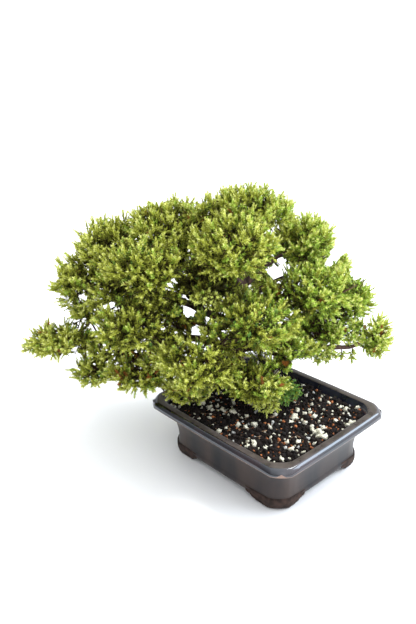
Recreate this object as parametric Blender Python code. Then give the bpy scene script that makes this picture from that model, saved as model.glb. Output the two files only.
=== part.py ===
# Juniper bonsai in its glazed pot: pot, soil, trunk, boughs and masses of foliage.
# Metres, +Z up, the soles of the pot's feet on Z = 0. The whole part is moved so that
# its box is centred on the Z axis. The tree has a frame of its own, whose three
# directions are across (to the right, seen from its front), back and up.

import math
import random

import bmesh
import bpy
from mathutils import Vector
from mathutils.bvhtree import BVHTree

# Clearance kept between neighbouring solids
GAP = 0.0003

# Pot
RIM_HALF = (0.100, 0.085)
POT_HEIGHT = 0.066
CORNER_CUT = 0.015
CORNER_SOFTNESS = 0.44
SIDE_BOW = 0.001
RIM_TOP_WIDTH = 0.0105
POT_UNDERSIDE = 0.0085
POT_FLOOR = 0.0145
DRAIN_RADIUS = 0.007
DRAIN_OFFSET = 0.040
DRAIN_SIDES = 16

# Feet of the pot: how far each reaches along the two sides that meet at its corner
FOOT_REACH = (0.040, 0.032)
FOOT_INSET = 0.004
FOOT_CUT = 0.0105
FOOT_SOFTNESS = 0.0042

# A foot from its top down: the height, how far it has drawn in along the sides, and how far
# in from the wall
FOOT_STEPS = (
    (POT_UNDERSIDE + 0.0020, 0.0000, 0.0000),
    (POT_UNDERSIDE - 0.0015, 0.0000, 0.0000),
    (0.0052, 0.0040, 0.0004),
    (0.0046, 0.0080, 0.0004),
    (0.0014, 0.0100, 0.0012),
    (0.0000, 0.0125, 0.0035),
)

# Soil
SOIL_LEVEL = 0.0600
SOIL_AT_WALL = 0.0592
SOIL_AT_TRUNK = 0.0610
SOIL_PATCH = 0.024
SOIL_OFF_WALL = 1.1 * GAP
SOIL_RINGS = (POT_FLOOR + GAP, 0.0200, 0.0480, SOIL_AT_WALL)
SOIL_RISE_SHARES = (0.12, 0.55)

# The tree stands off the pot's middle, and its front is turned from the pot's long side
TREE_PLACE = Vector((-0.052, 0.012, SOIL_LEVEL))
TREE_TURN = math.radians(48.0)

# Trunk: across, back, up and radius at points up its middle line
TRUNK = (
    (0.000, 0.000, 0.0013, 0.0120),
    (-0.002, 0.001, 0.012, 0.0110),
    (-0.003, 0.002, 0.035, 0.0096),
    (0.001, 0.005, 0.065, 0.0086),
    (0.005, 0.010, 0.095, 0.0072),
    (0.004, 0.015, 0.125, 0.0056),
    (0.007, 0.020, 0.150, 0.0042),
    (0.010, 0.025, 0.170, 0.0030),
)
TRUNK_SIDES = 12
ROOT_LOBES = 5
ROOT_FLARE = 0.45
FLARE_HEIGHT = 0.012

# Boughs: the limb each leaves, where on it (a height on the trunk, a share of a bough's
# length), its radius there, and the points it passes before it turns to its own mass.
TRUNK_LIMB = "trunk"
BOUGHS = {
    "front_dome": (TRUNK_LIMB, 0.120, 0.0034, ((-0.002, -0.008, 0.134),)),
    "upper_left": (TRUNK_LIMB, 0.132, 0.0034, ((-0.028, 0.026, 0.150),)),
    "left_end": (TRUNK_LIMB, 0.072, 0.0050,
                 ((-0.035, 0.010, 0.090), (-0.075, 0.014, 0.108), (-0.120, 0.018, 0.116))),
    "mid_left": ("left_end", 0.45, 0.0026, ((-0.081, 0.004, 0.117),)),
    "left_shoulder": ("left_end", 0.68, 0.0028, ((-0.121, 0.024, 0.126),)),
    "heart": (TRUNK_LIMB, 0.108, 0.0026, ((-0.008, 0.000, 0.116),)),
    "low_left": (TRUNK_LIMB, 0.098, 0.0040, ((-0.022, -0.006, 0.103), (-0.054, -0.020, 0.087))),
    "far_left": (TRUNK_LIMB, 0.046, 0.0046,
                 ((-0.040, 0.000, 0.061), (-0.090, 0.002, 0.066), (-0.135, 0.000, 0.066))),
    "left_tip": ("far_left", 0.70, 0.0024, ((-0.132, -0.004, 0.050),)),
    "left_under": (TRUNK_LIMB, 0.030, 0.0040, ((-0.034, -0.010, 0.042),)),
    "front_under": ("left_under", 0.50, 0.0020, ((-0.052, -0.028, 0.036),)),
    "front_low": (TRUNK_LIMB, 0.058, 0.0040, ((-0.014, -0.026, 0.070),)),
    "front_right": (TRUNK_LIMB, 0.084, 0.0036, ((0.004, -0.014, 0.096),)),
    "right_mid": (TRUNK_LIMB, 0.094, 0.0038, ((0.028, 0.004, 0.106),)),
    "right_shoulder": (TRUNK_LIMB, 0.116, 0.0034, ((0.034, 0.030, 0.136),)),
    "right_out": (TRUNK_LIMB, 0.080, 0.0038, ((0.044, 0.022, 0.086), (0.088, 0.036, 0.089))),
    "right_low": (TRUNK_LIMB, 0.064, 0.0036, ((0.036, 0.012, 0.070),)),
    "right_tip": (TRUNK_LIMB, 0.048, 0.0042,
                  ((0.036, -0.008, 0.056), (0.084, -0.014, 0.055), (0.122, -0.008, 0.051))),
    "right_under": (TRUNK_LIMB, 0.054, 0.0032, ((0.016, -0.014, 0.062),)),
    "low_centre": (TRUNK_LIMB, 0.038, 0.0032, ((0.002, -0.020, 0.046),)),
    "hanging": ("low_centre", 0.62, 0.0018, ((0.014, -0.034, 0.030),)),
    "back_left": (TRUNK_LIMB, 0.082, 0.0040, ((-0.030, 0.036, 0.097),)),
    "back_top": (TRUNK_LIMB, 0.128, 0.0034, ((0.001, 0.046, 0.144),)),
    "back_right": (TRUNK_LIMB, 0.100, 0.0038, ((0.038, 0.044, 0.108),)),
    "back_low": (TRUNK_LIMB, 0.068, 0.0038, ((0.000, 0.044, 0.082),)),
    "back_low_left": (TRUNK_LIMB, 0.052, 0.0036, ((-0.038, 0.028, 0.066),)),
}
BOUGH_TIP_RADIUS = 0.0014
BOUGH_SIDES = 6
LIMB_STEP = 0.018
SEATING_STEPS = 8
END_GAP_POINTS = 12
END_GAP_SHARES = (0.0, 0.5, 1.0)
FLAT_SIDE_ALLOWANCE = 1.0 / math.cos(math.pi / BOUGH_SIDES)

# Masses of foliage: the middle and the half sizes of each one's space (across, back, up),
# and the way its longest shoot points
FOLIAGE = {
    "apex": ((0.012, 0.030, 0.200), (0.056, 0.052, 0.028), (0.05, 0.10, 1.0)),
    "front_dome": ((-0.005, -0.042, 0.181), (0.048, 0.048, 0.035), (-0.2, -0.7, 0.6)),
    "upper_left": ((-0.074, 0.042, 0.184), (0.046, 0.050, 0.030), (-0.2, 0.2, 1.0)),
    "left_shoulder": ((-0.140, 0.038, 0.162), (0.044, 0.050, 0.034), (-0.7, 0.2, 0.7)),
    "left_end": ((-0.176, 0.020, 0.126), (0.033, 0.038, 0.031), (-1.0, 0.0, 0.1)),
    "mid_left": ((-0.092, -0.030, 0.156), (0.048, 0.048, 0.036), (-0.3, -0.8, 0.4)),
    "heart": ((-0.034, -0.018, 0.134), (0.038, 0.040, 0.032), (-0.3, -0.9, 0.2)),
    "far_left": ((-0.190, -0.004, 0.068), (0.052, 0.030, 0.023), (-1.0, 0.0, -0.2)),
    "low_left": ((-0.106, -0.045, 0.103), (0.050, 0.042, 0.034), (-0.4, -0.9, 0.1)),
    "left_tip": ((-0.162, -0.008, 0.033), (0.030, 0.028, 0.021), (-1.0, 0.0, -0.2)),
    "left_under": ((-0.108, -0.034, 0.042), (0.042, 0.036, 0.026), (-0.2, -0.8, -0.4)),
    "front_under": ((-0.056, -0.046, 0.025), (0.028, 0.026, 0.015), (0.1, -0.7, -0.5)),
    "front_low": ((-0.041, -0.080, 0.074), (0.044, 0.042, 0.032), (0.0, -1.0, 0.0)),
    "front_right": ((0.012, -0.062, 0.108), (0.047, 0.044, 0.029), (0.3, -0.9, 0.3)),
    "right_mid": ((0.076, -0.010, 0.118), (0.047, 0.048, 0.033), (0.3, -0.7, 0.6)),
    "right_shoulder": ((0.081, 0.050, 0.161), (0.036, 0.044, 0.029), (0.6, 0.1, 0.8)),
    "right_out": ((0.127, 0.028, 0.098), (0.031, 0.042, 0.037), (0.8, 0.1, 0.5)),
    "right_low": ((0.094, 0.014, 0.070), (0.042, 0.038, 0.026), (0.2, -0.5, -0.8)),
    "right_tip": ((0.153, 0.000, 0.060), (0.021, 0.024, 0.027), (0.9, 0.0, 0.5)),
    "right_under": ((0.046, -0.042, 0.065), (0.038, 0.036, 0.024), (0.4, -0.9, -0.1)),
    "low_centre": ((0.014, -0.060, 0.041), (0.040, 0.036, 0.023), (0.3, -0.8, -0.5)),
    "hanging": ((0.028, -0.050, 0.010), (0.013, 0.014, 0.016), (-0.1, -0.3, -1.0)),
    "back_left": ((-0.095, 0.105, 0.120), (0.050, 0.042, 0.030), (-0.3, 1.0, 0.2)),
    "back_top": ((-0.010, 0.098, 0.158), (0.052, 0.042, 0.030), (0.0, 1.0, 0.5)),
    "back_right": ((0.106, 0.098, 0.118), (0.046, 0.042, 0.030), (0.5, 0.9, 0.2)),
    "back_low": ((-0.010, 0.118, 0.094), (0.050, 0.040, 0.025), (0.0, 1.0, -0.1)),
    "back_low_left": ((-0.110, 0.062, 0.080), (0.042, 0.034, 0.023), (-0.9, 0.4, -0.2)),
}
SPACE_MARGIN = 0.0006
LOWEST_LEAF = 0.003

# Where the crown is open, seen from the tree's front at the height of a standing eye:
# a point across and up in the plane of the trunk, and the radius of the clear way
FRONT_EYE = Vector((-0.031, -0.649, 0.360))
WINDOWS = (
    (0.041, 0.140, 0.0080),
    (-0.053, 0.096, 0.0055),
    (-0.043, 0.065, 0.0040),
    (-0.165, 0.116, 0.0045),
    (-0.135, 0.103, 0.0035),
)

# What a mass is made of
CORE_SHARE = (0.56, 0.72)
TUFT_SHARE = (0.80, 0.97)
LEAST_CORE_SHARE = 0.30
AREA_PER_TWIG = 0.0042
SMALL_MASS = 0.030
FEWEST_TWIGS = 3
TWIG_RADIUS = 0.0018
SKIN_SHARE = 0.985
SIDE_SHARE = 0.66
SIDE_TILT = math.radians(36.0)
SPRAY_LENGTH = 0.026
SPRAY_RADIUS = 0.0058
SPRAY_SINK = 0.12
STEM_SIDES = 4
STEM_TAPER = 0.8
ROOT_SCATTER = 0.15
NECK_RADIUS_SHARE = 0.7
LEAST_NECK = 0.2
SPRAY_FOOT_SHARE = 0.3
SIDE_TILT_SPREAD = (-0.15, 0.25)
SIDE_LENGTH_SPREAD = (0.9, 1.1)
SHRINK_STEPS = (1.0, 0.85, 0.7)
TUFT_HALF_WIDTH = 0.0040
CLEAR_OF_LIMB = 0.0006
SEED = 7


def clear_scene():
    for item in list(bpy.data.objects):
        bpy.data.objects.remove(item, do_unlink=True)


def make_material(name, colour, roughness, metallic=0.0):
    material = bpy.data.materials.new(name)
    material.use_nodes = True
    shader = material.node_tree.nodes["Principled BSDF"]
    shader.inputs["Base Color"].default_value = (*colour, 1.0)
    shader.inputs["Roughness"].default_value = roughness
    shader.inputs["Metallic"].default_value = metallic
    return material


def make_object(name, mesh, material=None, parent=None):
    """Put a mesh in the scene as an object under its parent."""
    item = bpy.data.objects.new(name, mesh)
    bpy.context.scene.collection.objects.link(item)
    item.parent = parent
    if material:
        mesh.materials.clear()
        mesh.materials.append(material)
    return item


def finish_mesh(name, shape):
    """Turn a bmesh into a mesh whose faces point out."""
    bmesh.ops.recalc_face_normals(shape, faces=shape.faces)
    mesh = bpy.data.meshes.new(name)
    shape.to_mesh(mesh)
    shape.free()
    return mesh


def loft(name, loops):
    """Skin closed loops of equal length in order, and cap both ends.

    A loop of one point is a tip.
    """
    shape = bmesh.new()
    rows = [[shape.verts.new(point) for point in loop] for loop in loops]
    for lower, upper in zip(rows, rows[1:]):
        count = max(len(lower), len(upper))
        for i in range(count):
            j = (i + 1) % count
            if len(upper) == 1:
                shape.faces.new((lower[i], lower[j], upper[0]))
            elif len(lower) == 1:
                shape.faces.new((lower[0], upper[j], upper[i]))
            else:
                shape.faces.new((lower[i], lower[j], upper[j], upper[i]))
    for row in (rows[0], rows[-1]):
        if len(row) > 2:
            shape.faces.new(row)
    return finish_mesh(name, shape)


def apply_boolean(item, operation, solver, operand=None, collection=None):
    """Cut or join an object, keep the result as its mesh, and drop what was used up."""
    modifier = item.modifiers.new(operation.lower(), "BOOLEAN")
    modifier.operation = operation
    modifier.solver = solver
    if collection:
        modifier.operand_type = "COLLECTION"
        modifier.collection = collection
    else:
        modifier.object = operand
    bpy.context.view_layer.update()
    graph = bpy.context.evaluated_depsgraph_get()
    mesh = bpy.data.meshes.new_from_object(item.evaluated_get(graph))
    item.modifiers.clear()
    item.data = mesh
    used = list(collection.objects) if collection else [operand]
    for other in used:
        bpy.data.objects.remove(other, do_unlink=True)
    if collection:
        bpy.data.collections.remove(collection)


def island_volume(faces):
    """The signed volume that a set of faces encloses."""
    volume = 0.0
    for face in faces:
        first = face.verts[0].co
        for left, right in zip(face.verts[1:], face.verts[2:]):
            volume += first.dot(left.co.cross(right.co)) / 6.0
    return volume


def keep_largest_island(mesh):
    """Drop loose scraps and the walls of sealed hollows."""
    shape = bmesh.new()
    shape.from_mesh(mesh)
    unseen = set(shape.faces)
    islands = []
    while unseen:
        front = [unseen.pop()]
        island = list(front)
        while front:
            for edge in front.pop().edges:
                for face in edge.link_faces:
                    if face in unseen:
                        unseen.remove(face)
                        front.append(face)
                        island.append(face)
        islands.append(island)
    islands.sort(key=island_volume)
    for island in islands[:-1]:
        bmesh.ops.delete(shape, geom=island, context="FACES")
    shape.to_mesh(mesh)
    shape.free()


def fuse(name, meshes):
    """Join closed meshes into one body by one union on their collection."""
    body = make_object(name, meshes[0])
    collection = bpy.data.collections.new(name + "_pieces")
    bpy.context.scene.collection.children.link(collection)
    for i, mesh in enumerate(meshes[1:]):
        collection.objects.link(bpy.data.objects.new(f"{name}_piece_{i}", mesh))
    apply_boolean(body, "UNION", "MANIFOLD", collection=collection)
    keep_largest_island(body.data)
    return body


# Pot


def pot_outline(inset, z, bow=SIDE_BOW):
    """A rectangle with softly cut corners and slightly bowed sides."""
    half_x = RIM_HALF[0] - inset
    half_y = RIM_HALF[1] - inset
    soft = CORNER_SOFTNESS * CORNER_CUT
    corner = ((0.0, -CORNER_CUT), (-soft, -soft), (-CORNER_CUT, 0.0))
    quarter = [(half_x + dx, half_y + dy) for dx, dy in corner]
    loop = [(half_x + bow, 0.0), *quarter, (0.0, half_y + bow)]
    loop += [(-x, y) for x, y in reversed(quarter)]
    loop += [(-half_x - bow, 0.0)]
    loop += [(-x, -y) for x, y in quarter]
    loop += [(0.0, -half_y - bow)]
    loop += [(x, -y) for x, y in reversed(quarter)]
    return [Vector((x, y, z)) for x, y in loop]


# The wall outside, from the underside up: how far in from the rim's edge, and the height
POT_OUTSIDE = (
    (0.0230, POT_UNDERSIDE),
    (0.0192, 0.0092),
    (0.0182, 0.0125),
    (0.0194, 0.0160),
    (0.0194, 0.0260),
    (0.0182, 0.0360),
    (0.0162, 0.0440),
    (0.0138, 0.0500),
    (0.0110, 0.0545),
    (0.0090, 0.0565),
    (0.0014, 0.0580),
    (0.0000, 0.0598),
    (0.0004, 0.0625),
    (0.0026, 0.0655),
    (0.0036, POT_HEIGHT),
)
POT_INSIDE = (
    (RIM_TOP_WIDTH, POT_HEIGHT),
    (0.0125, 0.0640),
    (0.0180, 0.0480),
    (0.0240, 0.0200),
    (0.0300, POT_FLOOR),
)


def inner_inset(z):
    """How far in from the rim's edge the inner wall is at a height."""
    for (inset_a, z_a), (inset_b, z_b) in zip(POT_INSIDE, POT_INSIDE[1:]):
        if z_b <= z <= z_a:
            share = (z_a - z) / (z_a - z_b)
            return inset_a + share * (inset_b - inset_a)
    return POT_INSIDE[-1][0]


def build_foot(sign_x, sign_y):
    """One corner foot: a low block under the corner, stepped in like a cloud."""
    wall = POT_OUTSIDE[1][0] + FOOT_INSET
    loops = []
    for z, drawn_in, off_wall in FOOT_STEPS:
        edge_x = RIM_HALF[0] - wall - off_wall
        edge_y = RIM_HALF[1] - wall - off_wall
        back_x = edge_x - FOOT_REACH[0] + drawn_in
        back_y = edge_y - FOOT_REACH[1] + drawn_in
        loop = [
            (back_x, back_y),
            (edge_x, back_y),
            (edge_x, edge_y - FOOT_CUT),
            (edge_x - FOOT_SOFTNESS, edge_y - FOOT_SOFTNESS),
            (edge_x - FOOT_CUT, edge_y),
            (back_x, edge_y),
        ]
        loops.append([Vector((sign_x * x, sign_y * y, z)) for x, y in loop])
    return loft("foot", loops)


def build_pot(parent, material):
    loops = [pot_outline(inset, z) for inset, z in POT_OUTSIDE + POT_INSIDE]
    feet = [build_foot(x, y) for x in (-1, 1) for y in (-1, 1)]
    pot = fuse("pot", [loft("pot", loops), *feet])
    for side in (-1, 1):
        drill_loops = []
        for z in (0.5 * POT_UNDERSIDE, 1.5 * POT_FLOOR):
            turns = [2.0 * math.pi * i / DRAIN_SIDES for i in range(DRAIN_SIDES)]
            drill_loops.append([
                Vector((side * DRAIN_OFFSET + DRAIN_RADIUS * math.cos(t),
                        DRAIN_RADIUS * math.sin(t), z)) for t in turns
            ])
        drill = make_object("drill", loft("drill", drill_loops))
        apply_boolean(pot, "DIFFERENCE", "EXACT", operand=drill)
    pot.data.materials.clear()
    pot.data.materials.append(material)
    pot.parent = parent
    return pot


def build_soil(parent, material):
    """Soil that fills the pot, highest round the foot of the trunk."""
    loops = [pot_outline(inner_inset(z) + SOIL_OFF_WALL, z, bow=0.0) for z in SOIL_RINGS]
    wall = loops[-1]
    foot = Vector((TREE_PLACE.x, TREE_PLACE.y, 0.0))
    patch = []
    for point in wall:
        turn = math.atan2(point.y - foot.y, point.x - foot.x)
        offset = Vector((math.cos(turn), math.sin(turn), 0.0)) * SOIL_PATCH
        patch.append(foot + offset + Vector((0.0, 0.0, SOIL_AT_TRUNK)))
    for share in SOIL_RISE_SHARES:
        rise = SOIL_AT_WALL + share * (SOIL_AT_TRUNK - SOIL_AT_WALL)
        ring = [a.lerp(b, share) for a, b in zip(wall, patch)]
        loops.append([Vector((p.x, p.y, rise)) for p in ring])
    loops.append(patch)
    return make_object("soil", loft("soil", loops), material, parent)


# Limbs


def smooth_line(points):
    """Points with a radius, read every LIMB_STEP from a smooth curve through the given ones."""
    ends = [points[0]] + list(points) + [points[-1]]
    line = []
    for before, start, end, after in zip(ends, ends[1:], ends[2:], ends[3:]):
        length = (Vector(end[:3]) - Vector(start[:3])).length
        steps = max(1, round(length / LIMB_STEP))
        for i in range(steps):
            t = i / steps
            row = []
            for a, b, c, d in zip(before, start, end, after):
                bend = (2 * a - 5 * b + 4 * c - d) * t + (3 * b - a - 3 * c + d) * t * t
                row.append(0.5 * (2 * b + (c - a + bend) * t))
            line.append(row)
    line.append(list(points[-1]))
    return [(Vector(row[:3]), row[3]) for row in line]


def ring_axes(direction):
    """Two directions square to a given one."""
    helper = Vector((0.0, 0.0, 1.0)) if abs(direction.z) < 0.9 else Vector((1.0, 0.0, 0.0))
    first = direction.cross(helper).normalized()
    return first, direction.cross(first).normalized()


def tube(name, line, sides, spread=None):
    """A closed tapering tube along a line of points with radii."""
    loops = []
    first, second = None, None
    for i, (point, radius) in enumerate(line):
        before = line[max(i - 1, 0)][0]
        after = line[min(i + 1, len(line) - 1)][0]
        direction = (after - before).normalized()
        if first is None:
            first, second = ring_axes(direction)
        first = (first - direction * first.dot(direction)).normalized()
        second = direction.cross(first).normalized()
        loop = []
        for k in range(sides):
            turn = 2.0 * math.pi * k / sides
            wide = radius * (spread(point, turn) if spread else 1.0)
            loop.append(point + wide * (math.cos(turn) * first + math.sin(turn) * second))
        loops.append(loop)
    return loft(name, loops)


def root_spread(point, turn):
    """The foot of the trunk widens into a few roots where it meets the soil."""
    near_soil = max(0.0, 1.0 - point.z / FLARE_HEIGHT)
    lobes = 0.65 + 0.35 * math.cos(ROOT_LOBES * turn + 0.6)
    return 1.0 + ROOT_FLARE * near_soil * near_soil * lobes


def build_trunk(parent, material):
    line = smooth_line(TRUNK)
    mesh = tube("trunk", line, TRUNK_SIDES, root_spread)
    # The flat cut at the soil
    for vertex in mesh.vertices[:TRUNK_SIDES]:
        vertex.co.z = SOIL_AT_TRUNK - SOIL_LEVEL + GAP
    return make_object("trunk", mesh, material, parent), line


def along(line, share):
    """The point, radius and direction at a share of a line's length."""
    lengths = [(b[0] - a[0]).length for a, b in zip(line, line[1:])]
    goal = share * sum(lengths)
    for (start, wide), (end, narrow), length in zip(line, line[1:], lengths):
        if goal <= length:
            t = goal / length
            return start.lerp(end, t), wide + t * (narrow - wide), (end - start).normalized()
        goal -= length
    (start, _), (end, narrow) = line[-2:]
    return end, narrow, (end - start).normalized()


def at_height(line, height):
    """The point, radius and direction where a rising line reaches a height."""
    for (start, wide), (end, narrow) in zip(line, line[1:]):
        if start.z <= height <= end.z:
            t = (height - start.z) / (end.z - start.z)
            return start.lerp(end, t), wide + t * (narrow - wide), (end - start).normalized()
    return line[-1][0], line[-1][1], Vector((0.0, 0.0, 1.0))


def end_gap(line, carrier):
    """How far the flat end at a line's start is from its carrier's surface, less than 0 inside."""
    start, radius = line[0]
    first, second = ring_axes((line[1][0] - start).normalized())
    gaps = []
    for k in range(END_GAP_POINTS):
        turn = 2.0 * math.pi * k / END_GAP_POINTS
        side = math.cos(turn) * first + math.sin(turn) * second
        for share in END_GAP_SHARES:
            point = start + radius * share * side
            nearest, normal, _, distance = carrier.find_nearest(point)
            gaps.append(distance if (point - nearest).dot(normal) > 0.0 else -distance)
    return min(gaps)


def bough_line(name, limbs, surfaces, spaces):
    """The line of a bough, from just off the limb it leaves to where it enters its mass."""
    carrier, place, radius, points = BOUGHS[name]
    find = at_height if carrier == TRUNK_LIMB else along
    root, limb_radius, _ = find(limbs[carrier], place)
    toward = (Vector(points[0]) - root).normalized()
    tip = spaces[name].enter_from(Vector(points[-1]))
    middle = []
    for i, point in enumerate(points):
        share = (i + 1) / (len(points) + 1)
        middle.append((*point, radius + share * (BOUGH_TIP_RADIUS - radius)))
    start = root + toward * (limb_radius + radius + GAP)
    for _ in range(SEATING_STEPS):
        line = smooth_line([(*start, radius), *middle, (*tip, BOUGH_TIP_RADIUS)])
        start = start - toward * (end_gap(line, surfaces[carrier]) - GAP)
    return smooth_line([(*start, radius), *middle, (*tip, BOUGH_TIP_RADIUS)])


# Masses of foliage


class Space:
    """The room that one mass keeps to: an ellipsoid cut flat towards its neighbours."""

    ENTRY = 0.93

    def __init__(self, name):
        centre, half, leader = FOLIAGE[name]
        self.centre = Vector(centre)
        self.half = Vector(half)
        self.leader = Vector(leader).normalized()
        self.planes = [(Vector((0.0, 0.0, -1.0)), self.centre.z - LOWEST_LEAF)]

    def extent(self, direction):
        """How far the ellipsoid reaches along a direction."""
        return Vector(d * h for d, h in zip(direction, self.half)).length

    def cut_from(self, other):
        """Add the flat side that keeps this mass off another."""
        apart = other.centre - self.centre
        distance = apart.length
        normal = apart / distance
        mine = self.extent(normal)
        theirs = other.extent(normal)
        if mine + theirs + SPACE_MARGIN > distance:
            self.planes.append((normal, distance * mine / (mine + theirs) - SPACE_MARGIN / 2))

    def reach(self, direction):
        """The distance from the middle to the skin along a direction."""
        scaled = Vector(d / h for d, h in zip(direction, self.half)).length
        distance = 1.0 / scaled
        for normal, offset in self.planes:
            toward = normal.dot(direction)
            if toward > 1e-9:
                distance = min(distance, offset / toward)
        return distance

    def holds(self, point):
        offset = point - self.centre
        return offset.length <= self.reach(offset.normalized())

    def enter_from(self, point):
        """Where a line from outside to the middle comes into the mass."""
        direction = (point - self.centre).normalized()
        return self.centre + direction * self.ENTRY * self.reach(direction)


def make_spaces():
    spaces = {name: Space(name) for name in FOLIAGE}
    for name, space in spaces.items():
        for other_name, other in spaces.items():
            if other_name != name:
                space.cut_from(other)
    return spaces


def line_distance(point, start, end):
    """The distance from a point to a stretch of line."""
    run = end - start
    share = max(0.0, min(1.0, (point - start).dot(run) / run.length_squared))
    return (point - start - run * share).length


def in_window(point):
    """Whether a point would close one of the crown's gaps."""
    for across, up, radius in WINDOWS:
        ray = (Vector((across, 0.0, up)) - FRONT_EYE).normalized()
        offset = point - FRONT_EYE
        if (offset - ray * offset.dot(ray)).length < radius:
            return True
    return False


def touches_limb(start, end, radius, limbs):
    """Whether a straight shoot comes too near to any limb."""
    for k in range(5):
        point = start.lerp(end, k / 4)
        for line in limbs:
            for (a, wide), (b, narrow) in zip(line, line[1:]):
                if line_distance(point, a, b) < max(wide, narrow) + radius + CLEAR_OF_LIMB:
                    return True
    return False


def even_directions(count, leader, rng):
    """Directions spread evenly over a sphere, the first one along the leader."""
    golden = math.pi * (3.0 - math.sqrt(5.0))
    turn = rng.uniform(0.0, 2.0 * math.pi)
    tilt = Vector((0.0, 0.0, 1.0)).rotation_difference(leader)
    directions = [leader]
    for k in range(1, count):
        z = 1.0 - 2.0 * (k + 0.1) / (count - 0.4)
        z = max(-0.98, min(0.98, z))
        flat = math.sqrt(1.0 - z * z)
        swing = turn + golden * k
        directions.append(tilt @ Vector((flat * math.cos(swing), flat * math.sin(swing), z)))
    return directions


def limb_cutters(space, limbs):
    """Tubes a little wider than the stretches of limb that come into a mass's room."""
    cutters = []
    for line in limbs:
        inside = [i for i, (point, _) in enumerate(line) if space.holds(point)]
        if not inside:
            continue
        first = max(inside[0] - 1, 0)
        last = min(inside[-1] + 1, len(line) - 1)
        stretch = [(p, (r + CLEAR_OF_LIMB) * FLAT_SIDE_ALLOWANCE) for p, r in line[first:last + 1]]
        onward = (stretch[-1][0] - stretch[-2][0]).normalized()
        end, radius = stretch[-1]
        stretch.append((end + onward * 2.0 * GAP, radius))
        cutters.append(tube("cutter", stretch, BOUGH_SIDES))
    return cutters


def cut_clear(mesh, cutters):
    """Cut a body clear of the limbs that run through its room."""
    body = make_object("core", mesh)
    collection = bpy.data.collections.new("cutters")
    bpy.context.scene.collection.children.link(collection)
    for i, cutter in enumerate(cutters):
        collection.objects.link(bpy.data.objects.new(f"cutter_{i}", cutter))
    apply_boolean(body, "DIFFERENCE", "MANIFOLD", collection=collection)
    mesh = body.data
    bpy.data.objects.remove(body, do_unlink=True)
    return mesh


def make_core(space, limbs, rng):
    """A smaller body in the middle of a mass, with a pointed tuft on each of its faces."""
    shape = bmesh.new()
    facets = 1 if max(space.half) < SMALL_MASS else 2
    bmesh.ops.create_icosphere(shape, subdivisions=facets, radius=1.0)
    body = list(shape.verts)
    bmesh.ops.poke(shape, faces=shape.faces[:])
    for vertex in shape.verts:
        direction = vertex.co.normalized()
        stretched = Vector(d * h for d, h in zip(direction, space.half)).normalized()
        share = rng.uniform(*(CORE_SHARE if vertex in body else TUFT_SHARE))
        reach = stretched * space.reach(stretched)
        hidden = space.centre + reach * CORE_SHARE[0]
        if touches_limb(hidden, space.centre + reach * share, TUFT_HALF_WIDTH, limbs):
            share = CORE_SHARE[0]
        while in_window(space.centre + reach * share) and share > LEAST_CORE_SHARE:
            share *= 0.9
        vertex.co = space.centre + reach * share
    mesh = finish_mesh("core", shape)
    cutters = limb_cutters(space, limbs)
    return cut_clear(mesh, cutters) if cutters else mesh


def shoot_loops(root, direction, length, profile, turn):
    """The rings of a three-sided shoot: each a share of its length and a radius, then a tip."""
    first, second = ring_axes(direction)
    loops = []
    for share, radius in profile:
        loop = []
        for k in range(3):
            angle = turn + 2.0 * math.pi * k / 3.0
            side = math.cos(angle) * first + math.sin(angle) * second
            loop.append(root + direction * length * share + side * radius)
        loops.append(loop)
    loops.append([root + direction * length])
    return loops


def tilted(direction, angle, turn):
    """A direction leaned off another one by an angle, on the side given by a turn."""
    first, second = ring_axes(direction)
    side = math.cos(turn) * first + math.sin(turn) * second
    return (math.cos(angle) * direction + math.sin(angle) * side).normalized()


def ellipsoid_area(half):
    power = 1.6
    a, b, c = half
    mean = ((a * b) ** power + (a * c) ** power + (b * c) ** power) / 3.0
    return 4.0 * math.pi * mean ** (1.0 / power)


def grow_mass(name, space, entry, limbs, rng):
    """One mass: a stem from the limb's tip, twigs from the stem, sprays on the twigs."""
    tip, tip_radius, tip_direction = entry
    stem_start = tip + tip_direction * GAP
    pieces = [make_core(space, limbs, rng)]
    stem = [(stem_start, tip_radius), (space.centre, STEM_TAPER * tip_radius)]
    pieces.append(tube("stem", stem, STEM_SIDES))

    def add_shoot(root, direction, length, profile):
        """Add a shoot if it keeps to the space, off the gaps and clear of every limb."""
        for shrink in SHRINK_STEPS:
            loops = shoot_loops(root, direction, length * shrink, profile, rng.uniform(0, 6))
            points = [point for loop in loops[1:] for point in loop]
            if not all(space.holds(point) for point in points):
                continue
            if any(in_window(point) for point in points):
                continue
            if touches_limb(root, loops[-1][0], NECK_RADIUS_SHARE * SPRAY_RADIUS, limbs):
                continue
            pieces.append(loft("shoot", loops))
            return True
        return False

    side_profile = ((0.0, SPRAY_FOOT_SHARE * SPRAY_RADIUS), (0.5, SPRAY_RADIUS))
    twigs = max(FEWEST_TWIGS, round(ellipsoid_area(space.half) / AREA_PER_TWIG))
    for direction in even_directions(twigs, space.leader, rng):
        direction = Vector(d * h for d, h in zip(direction, space.half)).normalized()
        skin = space.centre + direction * space.reach(direction) * SKIN_SHARE
        root = space.centre + (stem_start - space.centre) * rng.uniform(0.0, ROOT_SCATTER)
        length = (skin - root).length
        heading = (skin - root) / length
        neck = max(LEAST_NECK, 1.0 - SPRAY_LENGTH / length)
        twig_profile = (
            (0.0, TWIG_RADIUS),
            (neck, NECK_RADIUS_SHARE * TWIG_RADIUS),
            (neck + 0.5 * (1.0 - neck), SPRAY_RADIUS),
        )
        if not add_shoot(root, heading, length, twig_profile):
            continue
        swing = rng.uniform(0.0, 2.0 * math.pi)
        side = tilted(heading, SIDE_TILT + rng.uniform(*SIDE_TILT_SPREAD), swing)
        side_length = min(SPRAY_LENGTH, 0.5 * length) * rng.uniform(*SIDE_LENGTH_SPREAD)
        side_root = root + heading * length * SIDE_SHARE - side * SPRAY_SINK * side_length
        add_shoot(side_root, side, side_length, side_profile)
    return fuse("foliage_" + name, pieces)


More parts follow.
